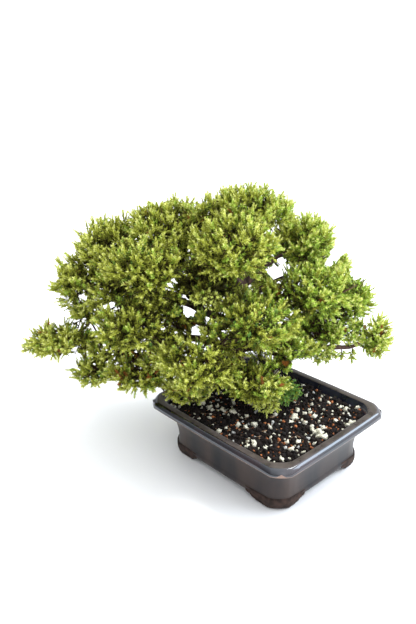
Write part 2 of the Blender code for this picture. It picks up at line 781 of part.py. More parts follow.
def surface_of(item):
    """A limb's surface, for finding distances to it in the tree's own frame."""
    points = [vertex.co for vertex in item.data.vertices]
    faces = [tuple(face.vertices) for face in item.data.polygons]
    return BVHTree.FromPolygons(points, faces)


def build_tree(parent, bark, needles):
    trunk, trunk_line = build_trunk(parent, bark)
    spaces = make_spaces()
    limbs = {TRUNK_LIMB: trunk_line}
    surfaces = {TRUNK_LIMB: surface_of(trunk)}
    for name in BOUGHS:
        limbs[name] = bough_line(name, limbs, surfaces, spaces)
        mesh = tube("bough_" + name, limbs[name], BOUGH_SIDES)
        surfaces[name] = surface_of(make_object("bough_" + name, mesh, bark, parent))
    for index, (name, space) in enumerate(spaces.items()):
        line = limbs[name if name in BOUGHS else TRUNK_LIMB]
        rng = random.Random(SEED + index)
        mass = grow_mass(name, space, along(line, 1.0), limbs.values(), rng)
        mass.data.materials.clear()
        mass.data.materials.append(needles)
        mass.parent = parent


def centre_on_axis(parent):
    """Move the whole part so that its box is centred on the Z axis."""
    bpy.context.view_layer.update()
    points = []
    for item in bpy.context.scene.objects:
        if item.type == "MESH":
            points += [item.matrix_world @ vertex.co for vertex in item.data.vertices]
    for axis in (0, 1):
        values = [point[axis] for point in points]
        parent.location[axis] = -(min(values) + max(values)) / 2.0
    bpy.context.view_layer.update()


def main():
    clear_scene()
    glaze = make_material("pot_glaze", (0.030, 0.024, 0.026), 0.25)
    earth = make_material("soil", (0.020, 0.016, 0.013), 0.95)
    bark = make_material("bark", (0.105, 0.060, 0.045), 0.85)
    needles = make_material("foliage", (0.130, 0.215, 0.045), 0.60)
    whole = make_object("whole", None)
    tree = make_object("tree", None, parent=whole)
    tree.location = TREE_PLACE
    tree.rotation_euler = (0.0, 0.0, TREE_TURN)
    build_pot(whole, glaze)
    build_soil(whole, earth)
    build_tree(tree, bark, needles)
    centre_on_axis(whole)


main()
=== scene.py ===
# Dressed model of a juniper bonsai in its glazed pot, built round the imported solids.
# Metres, +Z up. The pot's pieces are made round the pot's middle. The tree is made in a
# frame of its own, whose three directions are across (to the right, seen from its front),
# back and up, with its foot at 0, and is then turned and moved onto the soil.

import math

import bmesh
import bpy
import numpy as np
from mathutils import Matrix, Vector, noise


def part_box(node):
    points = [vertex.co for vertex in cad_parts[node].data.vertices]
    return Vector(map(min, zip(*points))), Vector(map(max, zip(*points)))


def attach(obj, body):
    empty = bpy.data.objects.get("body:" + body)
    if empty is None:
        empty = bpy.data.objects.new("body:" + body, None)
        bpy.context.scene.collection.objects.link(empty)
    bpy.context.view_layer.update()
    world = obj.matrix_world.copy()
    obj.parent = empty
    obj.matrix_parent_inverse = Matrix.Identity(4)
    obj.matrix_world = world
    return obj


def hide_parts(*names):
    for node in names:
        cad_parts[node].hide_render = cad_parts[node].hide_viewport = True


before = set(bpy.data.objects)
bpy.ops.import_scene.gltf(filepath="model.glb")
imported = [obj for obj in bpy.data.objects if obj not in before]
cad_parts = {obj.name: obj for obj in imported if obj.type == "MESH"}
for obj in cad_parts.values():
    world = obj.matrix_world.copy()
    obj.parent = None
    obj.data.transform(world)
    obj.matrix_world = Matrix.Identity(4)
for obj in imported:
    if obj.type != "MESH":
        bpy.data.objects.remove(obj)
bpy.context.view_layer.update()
NODES = sorted(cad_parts)
FOLIAGE_NODES = [name for name in NODES if name.startswith("foliage_")]
BOUGH_NODES = [name for name in NODES if name.startswith("bough_")]
pot_low, pot_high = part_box("pot")
POT_MIDDLE = np.array([(pot_low[0] + pot_high[0]) / 2, (pot_low[1] + pot_high[1]) / 2, 0.0])

SEED = 11
FULL_TURN = 2.0 * math.pi
UP = np.array([0.0, 0.0, 1.0])

# Camera, in the frame round the pot's middle
CAMERA_PLACE = Vector((0.40927172, -0.4451474, 0.41993339))
CAMERA_AHEAD = Vector((-0.68878671, 0.61767521, -0.37953946))
CAMERA_RIGHT = Vector((0.67503614, 0.73735929, -0.02504977))
CAMERA_UP = Vector((-0.26438432, 0.2734568, 0.92483637))
FRAME_HEIGHT = 624
FOCAL_PIXELS = 642.96
SENSOR = 36.0

# Pot
RIM_HALF = (0.100, 0.085)
POT_HEIGHT = 0.066
CORNER_CUT = 0.015
CORNER_CHAMFER = 0.52
SIDE_BOW = 0.001
RIM_TOP_WIDTH = 0.0105
POT_FLOOR = 0.0145
DRAIN_RADIUS = 0.007
DRAIN_OFFSET = 0.040
FOOT_REACH = (0.046, 0.038)
FOOT_OFF_RIM = 0.0178

# Soil
SOIL_LEVEL = 0.0600
SOIL_AT_WALL = 0.0592
SOIL_AT_TRUNK = 0.0610
SOIL_PATCH = 0.024
SOIL_SLOPE = 0.09
SOIL_SINK = 0.0004
SOIL_OFF_WALL = 0.0003
SOIL_SIDE_POINTS = 40
SOIL_RINGS = 48
# Its lumps and crumbs: how high, how fine, and where each is read from the noise
SOIL_RELIEF = ((0.0015, 90.0, 0.3), (0.0007, 330.0, 0.7))

# Tree
TREE_PLACE = np.array([-0.052, 0.012, SOIL_LEVEL])
TREE_TURN = math.radians(48.0)

# Trunk: across, back, up and radius at points up its middle line, in millimetres
TRUNK = (
    (0, 0, 1.3, 12), (-2, 1, 12, 11), (-3, 2, 35, 9.6), (1, 5, 65, 8.6), (5, 10, 95, 7.2),
    (4, 15, 125, 5.6), (7, 20, 150, 4.2), (10, 25, 170, 3),
)
ROOT_LOBES = 5
ROOT_FLARE = 0.45
FLARE_HEIGHT = 0.012

# Boughs: the limb each leaves, where on it (a height on the trunk, a share of a bough's
# length), its radius there, and the points it passes before it turns to its own mass.
# Heights, radii and points are in millimetres.
BOUGHS = {
    "front_dome": ("trunk", 120, 3.4, ((-2, -8, 134),)),
    "upper_left": ("trunk", 132, 3.4, ((-28, 26, 150),)),
    "left_end": ("trunk", 72, 5, ((-35, 10, 90), (-75, 14, 108), (-120, 18, 116))),
    "mid_left": ("left_end", 0.45, 2.6, ((-81, 4, 117),)),
    "left_shoulder": ("left_end", 0.68, 2.8, ((-121, 24, 126),)),
    "heart": ("trunk", 108, 2.6, ((-8, 0, 116),)),
    "low_left": ("trunk", 98, 4, ((-22, -6, 103), (-54, -20, 87))),
    "far_left": ("trunk", 46, 4.6, ((-40, 0, 61), (-90, 2, 66), (-135, 0, 66))),
    "left_tip": ("far_left", 0.7, 2.4, ((-132, -4, 50),)),
    "left_under": ("trunk", 30, 4, ((-34, -10, 42),)),
    "front_under": ("left_under", 0.5, 2, ((-52, -28, 36),)),
    "front_low": ("trunk", 58, 4, ((-14, -26, 70),)),
    "front_right": ("trunk", 84, 3.6, ((4, -14, 96),)),
    "right_mid": ("trunk", 94, 3.8, ((28, 4, 106),)),
    "right_shoulder": ("trunk", 116, 3.4, ((34, 30, 136),)),
    "right_out": ("trunk", 80, 3.8, ((44, 22, 86), (88, 36, 89))),
    "right_low": ("trunk", 64, 3.6, ((36, 12, 70),)),
    "right_tip": ("trunk", 48, 4.2, ((36, -8, 56), (84, -14, 55), (122, -8, 51))),
    "right_under": ("trunk", 54, 3.2, ((16, -14, 62),)),
    "low_centre": ("trunk", 38, 3.2, ((2, -20, 46),)),
    "hanging": ("low_centre", 0.62, 1.8, ((14, -34, 30),)),
    "back_left": ("trunk", 82, 4, ((-30, 36, 97),)),
    "back_top": ("trunk", 128, 3.4, ((1, 46, 144),)),
    "back_right": ("trunk", 100, 3.8, ((38, 44, 108),)),
    "back_low": ("trunk", 68, 3.8, ((0, 44, 82),)),
    "back_low_left": ("trunk", 52, 3.6, ((-38, 28, 66),)),
}
BOUGH_TIP_RADIUS = 0.0014
LIMB_STEP = 0.0022
# Sides of the limbs' mesh, and how deep their bark is, as a share of the radius
TRUNK_BARK = (56, 0.10)
BOUGH_BARK = (14, 0.17)
# Strips and flakes of bark: how fine round the limb and along it
BARK_STRIPS = (5.0, 45.0)
BARK_FLAKES = (2.2, 130.0)

# Masses of foliage: the middle and the half sizes of each one's space (across, back, up),
# in millimetres
FOLIAGE = {
    "apex": ((12, 30, 200), (56, 52, 28)),
    "front_dome": ((-5, -42, 181), (48, 48, 35)),
    "upper_left": ((-74, 42, 184), (46, 50, 30)),
    "left_shoulder": ((-140, 38, 162), (44, 50, 34)),
    "left_end": ((-176, 20, 126), (33, 38, 31)),
    "mid_left": ((-92, -30, 156), (48, 48, 36)),
    "heart": ((-34, -18, 134), (38, 40, 32)),
    "far_left": ((-190, -4, 68), (52, 30, 23)),
    "low_left": ((-106, -45, 103), (50, 42, 34)),
    "left_tip": ((-162, -8, 33), (30, 28, 21)),
    "left_under": ((-108, -34, 42), (42, 36, 26)),
    "front_under": ((-56, -46, 25), (28, 26, 15)),
    "front_low": ((-41, -80, 74), (44, 42, 32)),
    "front_right": ((12, -62, 108), (47, 44, 29)),
    "right_mid": ((76, -10, 118), (47, 48, 33)),
    "right_shoulder": ((81, 50, 161), (36, 44, 29)),
    "right_out": ((127, 28, 98), (31, 42, 37)),
    "right_low": ((94, 14, 70), (42, 38, 26)),
    "right_tip": ((153, 0, 60), (21, 24, 27)),
    "right_under": ((46, -42, 65), (38, 36, 24)),
    "low_centre": ((14, -60, 41), (40, 36, 23)),
    "hanging": ((28, -50, 10), (13, 14, 16)),
    "back_left": ((-95, 105, 120), (50, 42, 30)),
    "back_top": ((-10, 98, 158), (52, 42, 30)),
    "back_right": ((106, 98, 118), (46, 42, 30)),
    "back_low": ((-10, 118, 94), (50, 40, 25)),
    "back_low_left": ((-110, 62, 80), (42, 34, 23)),
}
# Growth of a mass that reaches into the room between the masses, the same way
SIDE_GROWTH = (
    ("left_end", (-138, -6, 128), (34, 32, 24)),
    ("heart", (-64, -28, 102), (36, 30, 24)),
    ("right_mid", (40, 4, 112), (26, 34, 18)),
    ("back_left", (-62, 78, 148), (34, 34, 26)),
    ("back_right", (62, 82, 138), (34, 34, 26)),
    ("back_low", (-52, 100, 100), (30, 30, 20)),
    ("back_low", (42, 100, 104), (30, 30, 22)),
    ("far_left", (-166, 6, 92), (26, 24, 14)),
    ("left_under", (-136, -18, 62), (30, 26, 14)),
    ("left_under", (-80, -34, 68), (32, 26, 16)),
    ("right_low", (128, 12, 64), (22, 24, 13)),
    ("upper_left", (-44, 34, 198), (20, 22, 14)),
    ("front_low", (-34, -34, 84), (18, 18, 12)),
    ("back_top", (12, 68, 180), (34, 30, 20)),
    ("back_right", (92, 80, 136), (26, 28, 20)),
    ("left_under", (-117, -15, 55), (20, 20, 10)),
    ("front_low", (-22, -18, 55), (16, 15, 10)),
    ("right_low", (92, -10, 67), (18, 17, 10)),
    ("upper_left", (-91, 4, 184), (15, 17, 11)),
)
# Thin sprigs that stand free of the masses: where each leaves its limb, the way it points,
# its length, and whether it has the common greens (0), fresh ones (1) or a bluish one (2).
# Places and lengths are in millimetres.
SPRIGS = (
    ((76, -13, 55), (-0.2, -0.3, -1), 17, 0), ((84, -14, 55), (0.1, -0.3, -1), 20, 0),
    ((93, -13, 54), (0.3, -0.2, -1), 19, 0), ((99, -12, 53), (0, -0.2, -1), 14, 0),
    ((113, -10, 52), (0.1, -0.1, -1), 15, 0), ((126, -8, 51), (0, 0, -1), 19, 0),
    ((137, -6, 51), (0.9, -0.2, -0.8), 18, 0), ((140, -4, 52), (1, 0, -0.5), 22, 0),
    ((80, -14, 55), (-0.1, -0.5, -1), 14, 0), ((88, -14, 55), (0.2, -0.6, -1), 15, 0),
    ((91, -14, 54), (-0.2, -0.4, -1), 17, 0), ((103, -12, 53), (0.3, -0.5, -1), 13, 0),
    ((78, -15, 56), (0.2, -1, -0.1), 12, 0), ((86, -15, 56), (-0.2, -1, 0.1), 13, 0),
    ((94, -14, 55), (0.3, -1, 0), 12, 0), ((101, -13, 54), (-0.1, -1, 0.2), 11, 0),
    ((88, -13, 57), (0.3, -0.4, 0.9), 16, 0), ((104, -11, 55), (0.4, -0.3, 0.9), 14, 0),
    ((120, -9, 53), (0.2, -0.3, 1), 13, 0), ((26, -62, 30), (0, -0.4, -1), 27, 1),
    ((30, -66, 22), (0.5, -0.4, -1), 15, 1), ((22, -66, 24), (-0.6, -0.4, -1), 14, 1),
    ((-40, -44, 134), (0.5, -1, -0.5), 26, 1), ((-42, -44, 132), (-0.3, -1, -0.3), 20, 1),
    ((-36, -46, 134), (1, -0.7, -0.2), 22, 1), ((-34, -46, 130), (0.9, -0.6, -0.9), 20, 1),
    ((42, -52, 36), (0.4, -0.4, -1), 24, 2), ((46, -52, 36), (0.9, -0.3, -0.7), 22, 2),
    ((42, -56, 34), (0, -0.6, -0.9), 20, 2), ((50, -52, 32), (0.5, -0.7, -0.6), 18, 2),
    ((46, -54, 28), (0.8, -0.5, -0.3), 18, 2), ((44, -56, 26), (0.2, -0.8, -0.5), 17, 2),
    ((-214, -10, 63), (-1, -0.1, -0.2), 25, 0), ((-206, -12, 64), (-0.9, -0.3, 0.3), 22, 0),
    ((-204, -10, 62), (-0.9, -0.2, -0.5), 22, 0),
)
FRESH_GREEN = 1
BLUISH_GREEN = 2
SPRIG_STEP = 0.0017
SPRIG_SHOOTS = (0.0075, 0.0045)
# The bluish end of the low middle mass
BLUE_SPOT = np.array([0.050, -0.052, 0.028])
BLUE_REACH = 0.015
SPACE_MARGIN = 0.0006
LOWEST_LEAF = 0.003

# Where the crown is open, seen from the tree's front at the height of a standing eye:
# a point across and up in the plane of the trunk, and the radius of the clear way, in
# millimetres
FRONT_EYE = np.array([-0.031, -0.649, 0.360])
WINDOWS = (
    (36.5, 137.5, 4.8), (44, 135, 5.4), (41, 131, 4), (46, 151, 2.2), (-53, 96, 5.5), (-46, 67, 3),
    (-167, 117, 2.5), (-137, 104, 2), (104, 156, 5.6), (112, 168, 6), (122, 162, 8.5),
    (132, 147, 7), (143, 131, 6.2), (128, 136, 6.8), (98, 147, 4), (-163, 195, 6),
    (-198, 141, 6.5), (-147, 5, 5.5), (72, 24, 8), (-188, 38, 6), (-98, 221, 7), (-82, 224, 7.5),
    (41, 230, 6), (-198, 156, 6),
)
CLEAR_OF_WINDOW = 0.0025
CLEAR_OF_LIMB = 0.0008
CLEAR_OF_RIM = 0.0035
NEAR_RIM = 0.003

# The whole crown's middle and half sizes, for the painted light on its outside and painted shade in its
# middle
CROWN_MIDDLE = np.array([-0.020, -0.020, 0.130])
CROWN_HALF = np.array([0.170, 0.130, 0.110])

# How tightly neighbouring masses flow together where they meet
BLEND = 4.3

# Sprays: how much skin each one covers, its length, how deep its tip lies (1 is the skin),
# how far it turns up, and the share that grows in the hidden inside
AREA_PER_SPRAY = 0.00038
SPRAY_LENGTH = (0.026, 0.038)
SPRAY_DEPTH = (0.85, 0.97)
UPTURN = 0.40
HIDDEN_SHARE = 0.15
AREA_PER_INNER_SPRAY = 0.0011
INNER_DEPTH = (0.56, 0.74)
TWIG_AREA = 0.0030
TWIG_REACH = 0.60

# Shoots: their spacing on a spray's axis, and length and angle from its foot to its tip
SHOOT_STEP = 0.0031
SHOOT_LENGTHS = (0.0185, 0.0095)
SHOOT_ANGLES = (math.radians(54.0), math.radians(30.0))
END_SHOOT = 0.0125
SHOOT_LIMIT = 1.01
FORKED_ABOVE = 0.0125
# Forks: where on the shoot and how long, as shares of it, and how far aside and up they point
FORK_PLACE = 0.42
FORK_SIZE = 0.60
FORK_ASIDE = 0.75
FORK_UP = 0.15
# How far shoots bend by chance and upwards
SHOOT_BEND = 0.07
SHOOT_RISE = 0.12
CORE_RADIUS = 0.0013

# Needles
NEEDLE_STEP = 0.00037
FEWEST_NEEDLES = 14
INNER_NEEDLES = 12
INNER_SCALE = 1.45
NEEDLE_LENGTH = 0.0039
NEEDLE_WIDTH = 0.00118
NEEDLE_FOLD = 0.00030
# Where a needle is widest, how much shorter it is at a shoot's tip, and how far chance turns
# and leans it
NEEDLE_SHOULDER = 0.38
NEEDLE_SHORTER = 0.22
NEEDLE_TURN = 0.2
NEEDLE_LEAN = 0.14
NEEDLE_ANGLES = (math.radians(58.0), math.radians(29.0))
GOLDEN_TURN = math.pi * (3.0 - math.sqrt(5.0))
MOST_TRIANGLES = 190000

# Radii of the wood in a mass: the stem and the twigs at both ends, and a spray's stalk
STEM_RADII = (0.0014, 0.0011)
TWIG_RADII = (0.0011, 0.0007)
STALK_RADII = (0.0008, 0.0006, 0.0004)
THICK_WOOD = 0.0013
TWIG_SAG = 0.0016

# Colours of the needles, from the darkest to the palest, and the rarer ones. The steps from
# inner to tip are partly the needles' own variety and partly painted shade and light
TONES = {
    "inner": (0.066, 0.062, 0.011),
    "deep": (0.185, 0.200, 0.023),
    "mid": (0.370, 0.405, 0.046),
    "light": (0.530, 0.570, 0.100),
    "tip": (0.710, 0.740, 0.240),
    "lush_deep": (0.135, 0.205, 0.020),
    "lush_mid": (0.280, 0.410, 0.044),
    "lush_light": (0.430, 0.590, 0.088),
    "blue": (0.150, 0.290, 0.058),
    "fresh": (0.700, 0.760, 0.190),
    "dead": (0.330, 0.130, 0.026),
}
TONE_CUTS = (0.20, 0.42, 0.68, 0.95)

# A shoot's tone rises with how open its place is, the way up that it points, chance, the
# patch that it stands in, and how far out, to the right and up in the crown it is. Chance and
# the patch are the needles' own variety. The rest is painted light and shade: paler where the
# crown is open, where shoots point up, on its outside, to its right and high up, and painted
# shade in its inside and low down
TONE_PAINTED_OPEN = 0.62
TONE_PAINTED_SKYWARD = 0.12
TONE_CHANCE = 0.17
TONE_PATCH = 0.12
TONE_PAINTED_OUTSIDE = 0.42
TONE_PAINTED_RIGHT = 0.07
TONE_PAINTED_HIGH = 0.60
TONE_START = 0.125
# Where these start: the share of the crown's reach, how far out, and how high
OPEN_FROM = 0.55
OUT_FROM = 0.80
HIGH_FROM = 0.125
# How finely the patches change from place to place
PATCH_FINENESS = 26.0
# Needles: brighter towards a shoot's tip, and by chance
TONE_TIP = 0.50
TONE_NEEDLE = 0.21
# Shares of shoots that are dead low in the crown and elsewhere, and bluish or fresh
LOW_IN_CROWN = 0.075
DEAD_SHARES = (0.030, 0.012)
DEAD_DEPTH = 0.88
BLUISH_PATCH = 0.18
BLUISH_SHARE = 0.20
FRESH_SHARE = 0.008
# Share of shoots in the lusher greens: at the middle, its rise to the right, and its limits
LUSH_SHARE = (0.27, 6.0)
LUSH_LIMITS = (0.12, 0.85)

# Patterned materials: the scale of the pattern and its stretch along Z, its dark and light
# colours, the roughness of both, the specular level, and the relief's strength and depth
PATTERNS = {
    "glaze_wall": (26, 0.16, (0.009, 0.009, 0.012), (0.052, 0.035, 0.029), (0.22, 0.42), 0.30, 0.10, 0.0006),
    "glaze_rim": (70, 1, (0.044, 0.036, 0.033), (0.088, 0.073, 0.066), (0.20, 0.38), 0.17, 0.08, 0.0004),
    "glaze_band": (45, 1, (0.003, 0.003, 0.005), (0.020, 0.008, 0.009), (0.08, 0.16), 1, 0.08, 0.0005),
    "glaze_edge": (60, 1, (0.070, 0.036, 0.028), (0.260, 0.165, 0.125), (0.34, 0.50), 0.5, 0, 0),
    # The inner wall: the dark glaze's own colour, with its blue a painted reflection
    "glaze_inside_painted_blue": (70, 0.4, (0.006, 0.007, 0.014), (0.024, 0.026, 0.042), (0.18, 0.32), 0.5, 0, 0),
    "foot_clay": (160, 1, (0.017, 0.011, 0.009), (0.052, 0.032, 0.026), (0.75, 0.95), 0.2, 0.35, 0.0006),
    "soil_earth": (420, 1, (0.003, 0.0025, 0.0025), (0.018, 0.012, 0.009), (0.85, 1), 0.15, 0.8, 0.0008),
    "pumice": (700, 1, (0.36, 0.34, 0.25), (0.80, 0.78, 0.66), (0.8, 1), 0.2, 0.5, 0.0004),
    "pumice_grey": (700, 1, (0.22, 0.22, 0.21), (0.62, 0.62, 0.60), (0.8, 1), 0.2, 0.5, 0.0004),
    "clay_bit": (600, 1, (0.13, 0.036, 0.014), (0.50, 0.17, 0.05), (0.75, 0.95), 0.5, 0.4, 0.0003),
    "crumb": (150, 1, (0.003, 0.0025, 0.0025), (0.017, 0.011, 0.009), (0.8, 1), 0.2, 0.5, 0.0004),
    "bark_chip": (300, 3, (0.090, 0.050, 0.030), (0.34, 0.22, 0.13), (0.8, 1), 0.5, 0.4, 0.0003),
    "bark_rough": (220, 0.25, (0.026, 0.014, 0.011), (0.125, 0.068, 0.050), (0.8, 1), 0.5, 0.5, 0.0006),
}
# Where a pattern turns from dark to light, and how detailed it is, if not as usual
PATTERN_CUTS = {"glaze_wall": (0.42, 0.66)}
USUAL_CUTS = (0.35, 0.65)
PATTERN_DETAIL = {"soil_earth": 6.0, "bark_rough": 6.0}
USUAL_DETAIL = 4.0
BAND_TINT = (0.84, 0.92, 1.0, 1.0)


# Meshes


def metres(table):
    """Lengths from a table in millimetres."""
    return np.array(table, float) / 1000.0


def triangle_mesh(name, points, triangles):
    """A mesh of triangles from two arrays."""
    mesh = bpy.data.meshes.new(name)
    mesh.vertices.add(len(points))
    mesh.vertices.foreach_set("co", np.asarray(points, np.float32).ravel())
    mesh.loops.add(3 * len(triangles))
    mesh.loops.foreach_set("vertex_index", np.asarray(triangles, np.int32).ravel())
    mesh.polygons.add(len(triangles))
    mesh.polygons.foreach_set("loop_start", np.arange(0, 3 * len(triangles), 3, dtype=np.int32))
    mesh.update(calc_edges=True)
    return mesh


def take_mesh(name, shape):
    """A mesh from a shape, which is then let go."""
    mesh = bpy.data.meshes.new(name)
    shape.to_mesh(mesh)
    shape.free()
    return mesh


def pot_mesh(name, shape):
    """A mesh from a shape that is drawn round the pot's middle, with its faces turned out."""
    bmesh.ops.recalc_face_normals(shape, faces=shape.faces)
    for vertex in shape.verts:
        vertex.co += Vector(POT_MIDDLE)
    return take_mesh(name, shape)


def add_object(name, data):
    item = bpy.data.objects.new(name, data)
    bpy.context.scene.collection.objects.link(item)
    return item


def add_piece(name, mesh, nodes, materials):
    """Put a piece in the scene, on the part's one body."""
    for material in materials:
        mesh.materials.append(material)
    piece = add_object(name, mesh)
    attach(piece, "root")
    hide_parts(*nodes)
    return piece


def between(ends, share):
    """A value at a share of the way from one end to the other."""
    return ends[0] + share * (ends[1] - ends[0])


def unit(vectors):
    return vectors / np.linalg.norm(vectors, axis=-1, keepdims=True)


def square_to(directions):
    """Two directions square to each given one."""
    upright = np.abs(directions[..., 2:3]) > 0.9
    helper = np.where(upright, np.array([1.0, 0.0, 0.0]), np.array([0.0, 0.0, 1.0]))
    first = unit(np.cross(directions, helper))
    return first, np.cross(directions, first)


def around(axes, turns):
    """Directions square to axes, at turns round them."""
    first, second = square_to(axes)
    return np.cos(turns)[..., None] * first + np.sin(turns)[..., None] * second


# Materials


def new_material(name, colour, roughness, specular=0.5):
    material = bpy.data.materials.new(name)
    material.use_nodes = True
    inputs = material.node_tree.nodes["Principled BSDF"].inputs
    inputs["Base Color"].default_value = (*colour, 1.0)
    inputs["Roughness"].default_value = roughness
    inputs["Specular IOR Level"].default_value = specular
    return material


def add_node(tree, kind, values=None):
    """A node of a kind, with values for some of its inputs."""
    node = tree.nodes.new("ShaderNode" + kind)
    for place, value in (values or {}).items():
        node.inputs[place].default_value = value
    return node


def link(source, output, target, place):
    source.id_data.links.new(source.outputs[output], target.inputs[place])


def patterned(name):
    """A material whose colour, roughness and relief vary by one noise in the object's space."""
    scale, stretch, dark, light, rough, specular, strength, depth = PATTERNS[name]
    material = new_material(name, light, rough[1], specular)
    tree = material.node_tree
    shader = tree.nodes["Principled BSDF"]
    place = add_node(tree, "TexCoord")
    mapping = add_node(tree, "Mapping", {"Scale": (1.0, 1.0, stretch)})
    detail = PATTERN_DETAIL.get(name, USUAL_DETAIL)
    pattern = add_node(tree, "TexNoise", {"Scale": scale, "Detail": detail})
    ramp = add_node(tree, "ValToRGB")
    cuts = PATTERN_CUTS.get(name, USUAL_CUTS)
    for element, cut, colour in zip(ramp.color_ramp.elements, cuts, (dark, light)):
        element.position = cut
        element.color = (*colour, 1.0)
    spread = add_node(tree, "MapRange", {"To Min": rough[0], "To Max": rough[1]})
    link(place, "Object", mapping, "Vector")
    link(mapping, "Vector", pattern, "Vector")
    link(pattern, "Fac", ramp, "Fac")
    link(ramp, "Color", shader, "Base Color")
    link(pattern, "Fac", spread, "Value")
    link(spread, "Result", shader, "Roughness")
    if strength:
        relief = add_node(tree, "Bump", {"Strength": strength, "Distance": depth})
        link(pattern, "Fac", relief, "Height")
        link(relief, "Normal", shader, "Normal")
    return material


# Pot


def cut_corner(steps, chamfer):
    """How far a softly cut corner keeps off both sides, at points from one to the other."""
    points = []
    for i in range(steps + 1):
        share = i / steps
        turn = share * math.pi / 2.0
        off_x = (1.0 - chamfer) * (1.0 - math.cos(turn)) + chamfer * share
        off_y = (1.0 - chamfer) * (1.0 - math.sin(turn)) + chamfer * (1.0 - share)
        points.append((CORNER_CUT * off_x, CORNER_CUT * off_y))
    return points


def pot_outline(inset, z, bow=SIDE_BOW, side_points=12):
    """A rectangle with softly cut corners and slightly bowed sides, from +X round."""
    half_x = RIM_HALF[0] - inset
    half_y = RIM_HALF[1] - inset
    quarter = [(half_x - off_x, half_y - off_y) for off_x, off_y in cut_corner(10, CORNER_CHAMFER)]
    corners = [
        quarter,
        [(-x, y) for x, y in reversed(quarter)],
        [(-x, -y) for x, y in quarter],
        [(x, -y) for x, y in reversed(quarter)],
    ]
    outward = ((0.0, 1.0), (-1.0, 0.0), (0.0, -1.0), (1.0, 0.0))
    loop = []
    for corner, following, way in zip(corners, corners[1:] + corners[:1], np.array(outward)):
        loop += corner
        ends = np.array((corner[-1], following[0]))
        for i in range(1, side_points):
            share = i / side_points
            swell = 4.0 * share * (1.0 - share) * bow
            loop.append(tuple(between(ends, share) + swell * way))
    return [Vector((x, y, z)) for x, y in loop]


# The pot's surface from its underside out, up, over the rim and down inside, by finish: how
# far in from the rim's edge, and the height, in millimetres
POT_SURFACE = {
    "foot_clay": ((23, 8.5),),
    "glaze_wall": (
        (19.8, 8.8), (18.8, 9.8), (18.2, 11.2), (18.1, 12.8), (18.6, 14.4), (19.3, 15.3),
        (19.5, 16.5), (19.5, 22), (19.3, 28), (18.6, 34), (17.5, 39.5), (16, 44.5), (14, 49),
        (11.6, 53), (9.2, 55.8), (6, 57.2),
    ),
    "glaze_edge": ((3, 57.7), (1.2, 58), (0.3, 58.7)),
    "glaze_band": ((0.1, 59.4), (0, 60.4), (0.4, 61.8), (1.2, 63.4), (2.2, 64.8), (3.1, 65.7)),
    "glaze_rim": ((3.8, 66), (6, 66), (8.5, 65.9), (10.1, 65.8)),
    # Inside, the blue of the finish is a painted reflection on the dark glaze
    "glaze_inside_painted_blue": ((10.7, 65.4), (11.1, 64.6), (12.5, 62), (18, 48), (24, 20), (30, 14.5)),
}
# Small peaks of the rim's edge at the corners: their height, its share on the loops above
# each other, and half their width
CUSP_HEIGHT = 0.0034
CUSP_SHARES = (1.0, 0.9, 0.5)
CUSP_HALF_WIDTH = 0.0028
# The feet from their top down, in millimetres: the height, how far drawn in along the
# sides, and how far in from the wall
FOOT_STEPS = (
    (14.9, 3, 1.2), (14.6, 1.2, 0.2), (13.8, 0.4, -0.2), (12, 0, -0.3), (9.8, 0.3, -0.3),
    (8.4, 1.4, -0.1), (7.4, 3.6, 0.2), (6.8, 6.4, 0.4), (6.2, 8.2, 0.4), (5.2, 8.9, 0.6),
    (4.2, 9.7, 1), (3.4, 12, 1.5), (2.8, 13.9, 1.8), (1.8, 14.7, 2.2), (0.7, 15.7, 3.1),
    (0, 17.5, 4.7),
)
FOOT_CHAMFER = 0.6


def inner_inset(z):
    """How far in from the rim's edge the inner wall is at a height."""
    insets, heights = metres(POT_SURFACE["glaze_inside_painted_blue"])[::-1].T
    return np.interp(z, heights, insets)


def skin_loops(shape, loops, finishes=None):
    """Join closed loops of equal length with quads, and cap both ends."""
    rows = [[shape.verts.new(point) for point in loop] for loop in loops]
    finishes = finishes or [0] * len(rows)
    for lower, upper, finish in zip(rows, rows[1:], finishes):
        for i in range(len(lower)):
            j = (i + 1) % len(lower)
            face = shape.faces.new((lower[i], lower[j], upper[j], upper[i]))
            face.smooth = True
            face.material_index = finish
    shape.faces.new(rows[0])
    shape.faces.new(rows[-1]).material_index = finishes[-1]


def raise_cusps(loop, lift):
    """Lift a loop in a small rounded peak at the middle of each corner."""
    for point in loop:
        side_x = RIM_HALF[0] - abs(point.x)
        side_y = RIM_HALF[1] - abs(point.y)
        along_corner = abs(side_x - side_y) / math.sqrt(2.0)
        if side_x + side_y < 1.5 * CORNER_CUT:
            point.z += lift * math.exp(-(along_corner / CUSP_HALF_WIDTH) ** 2)


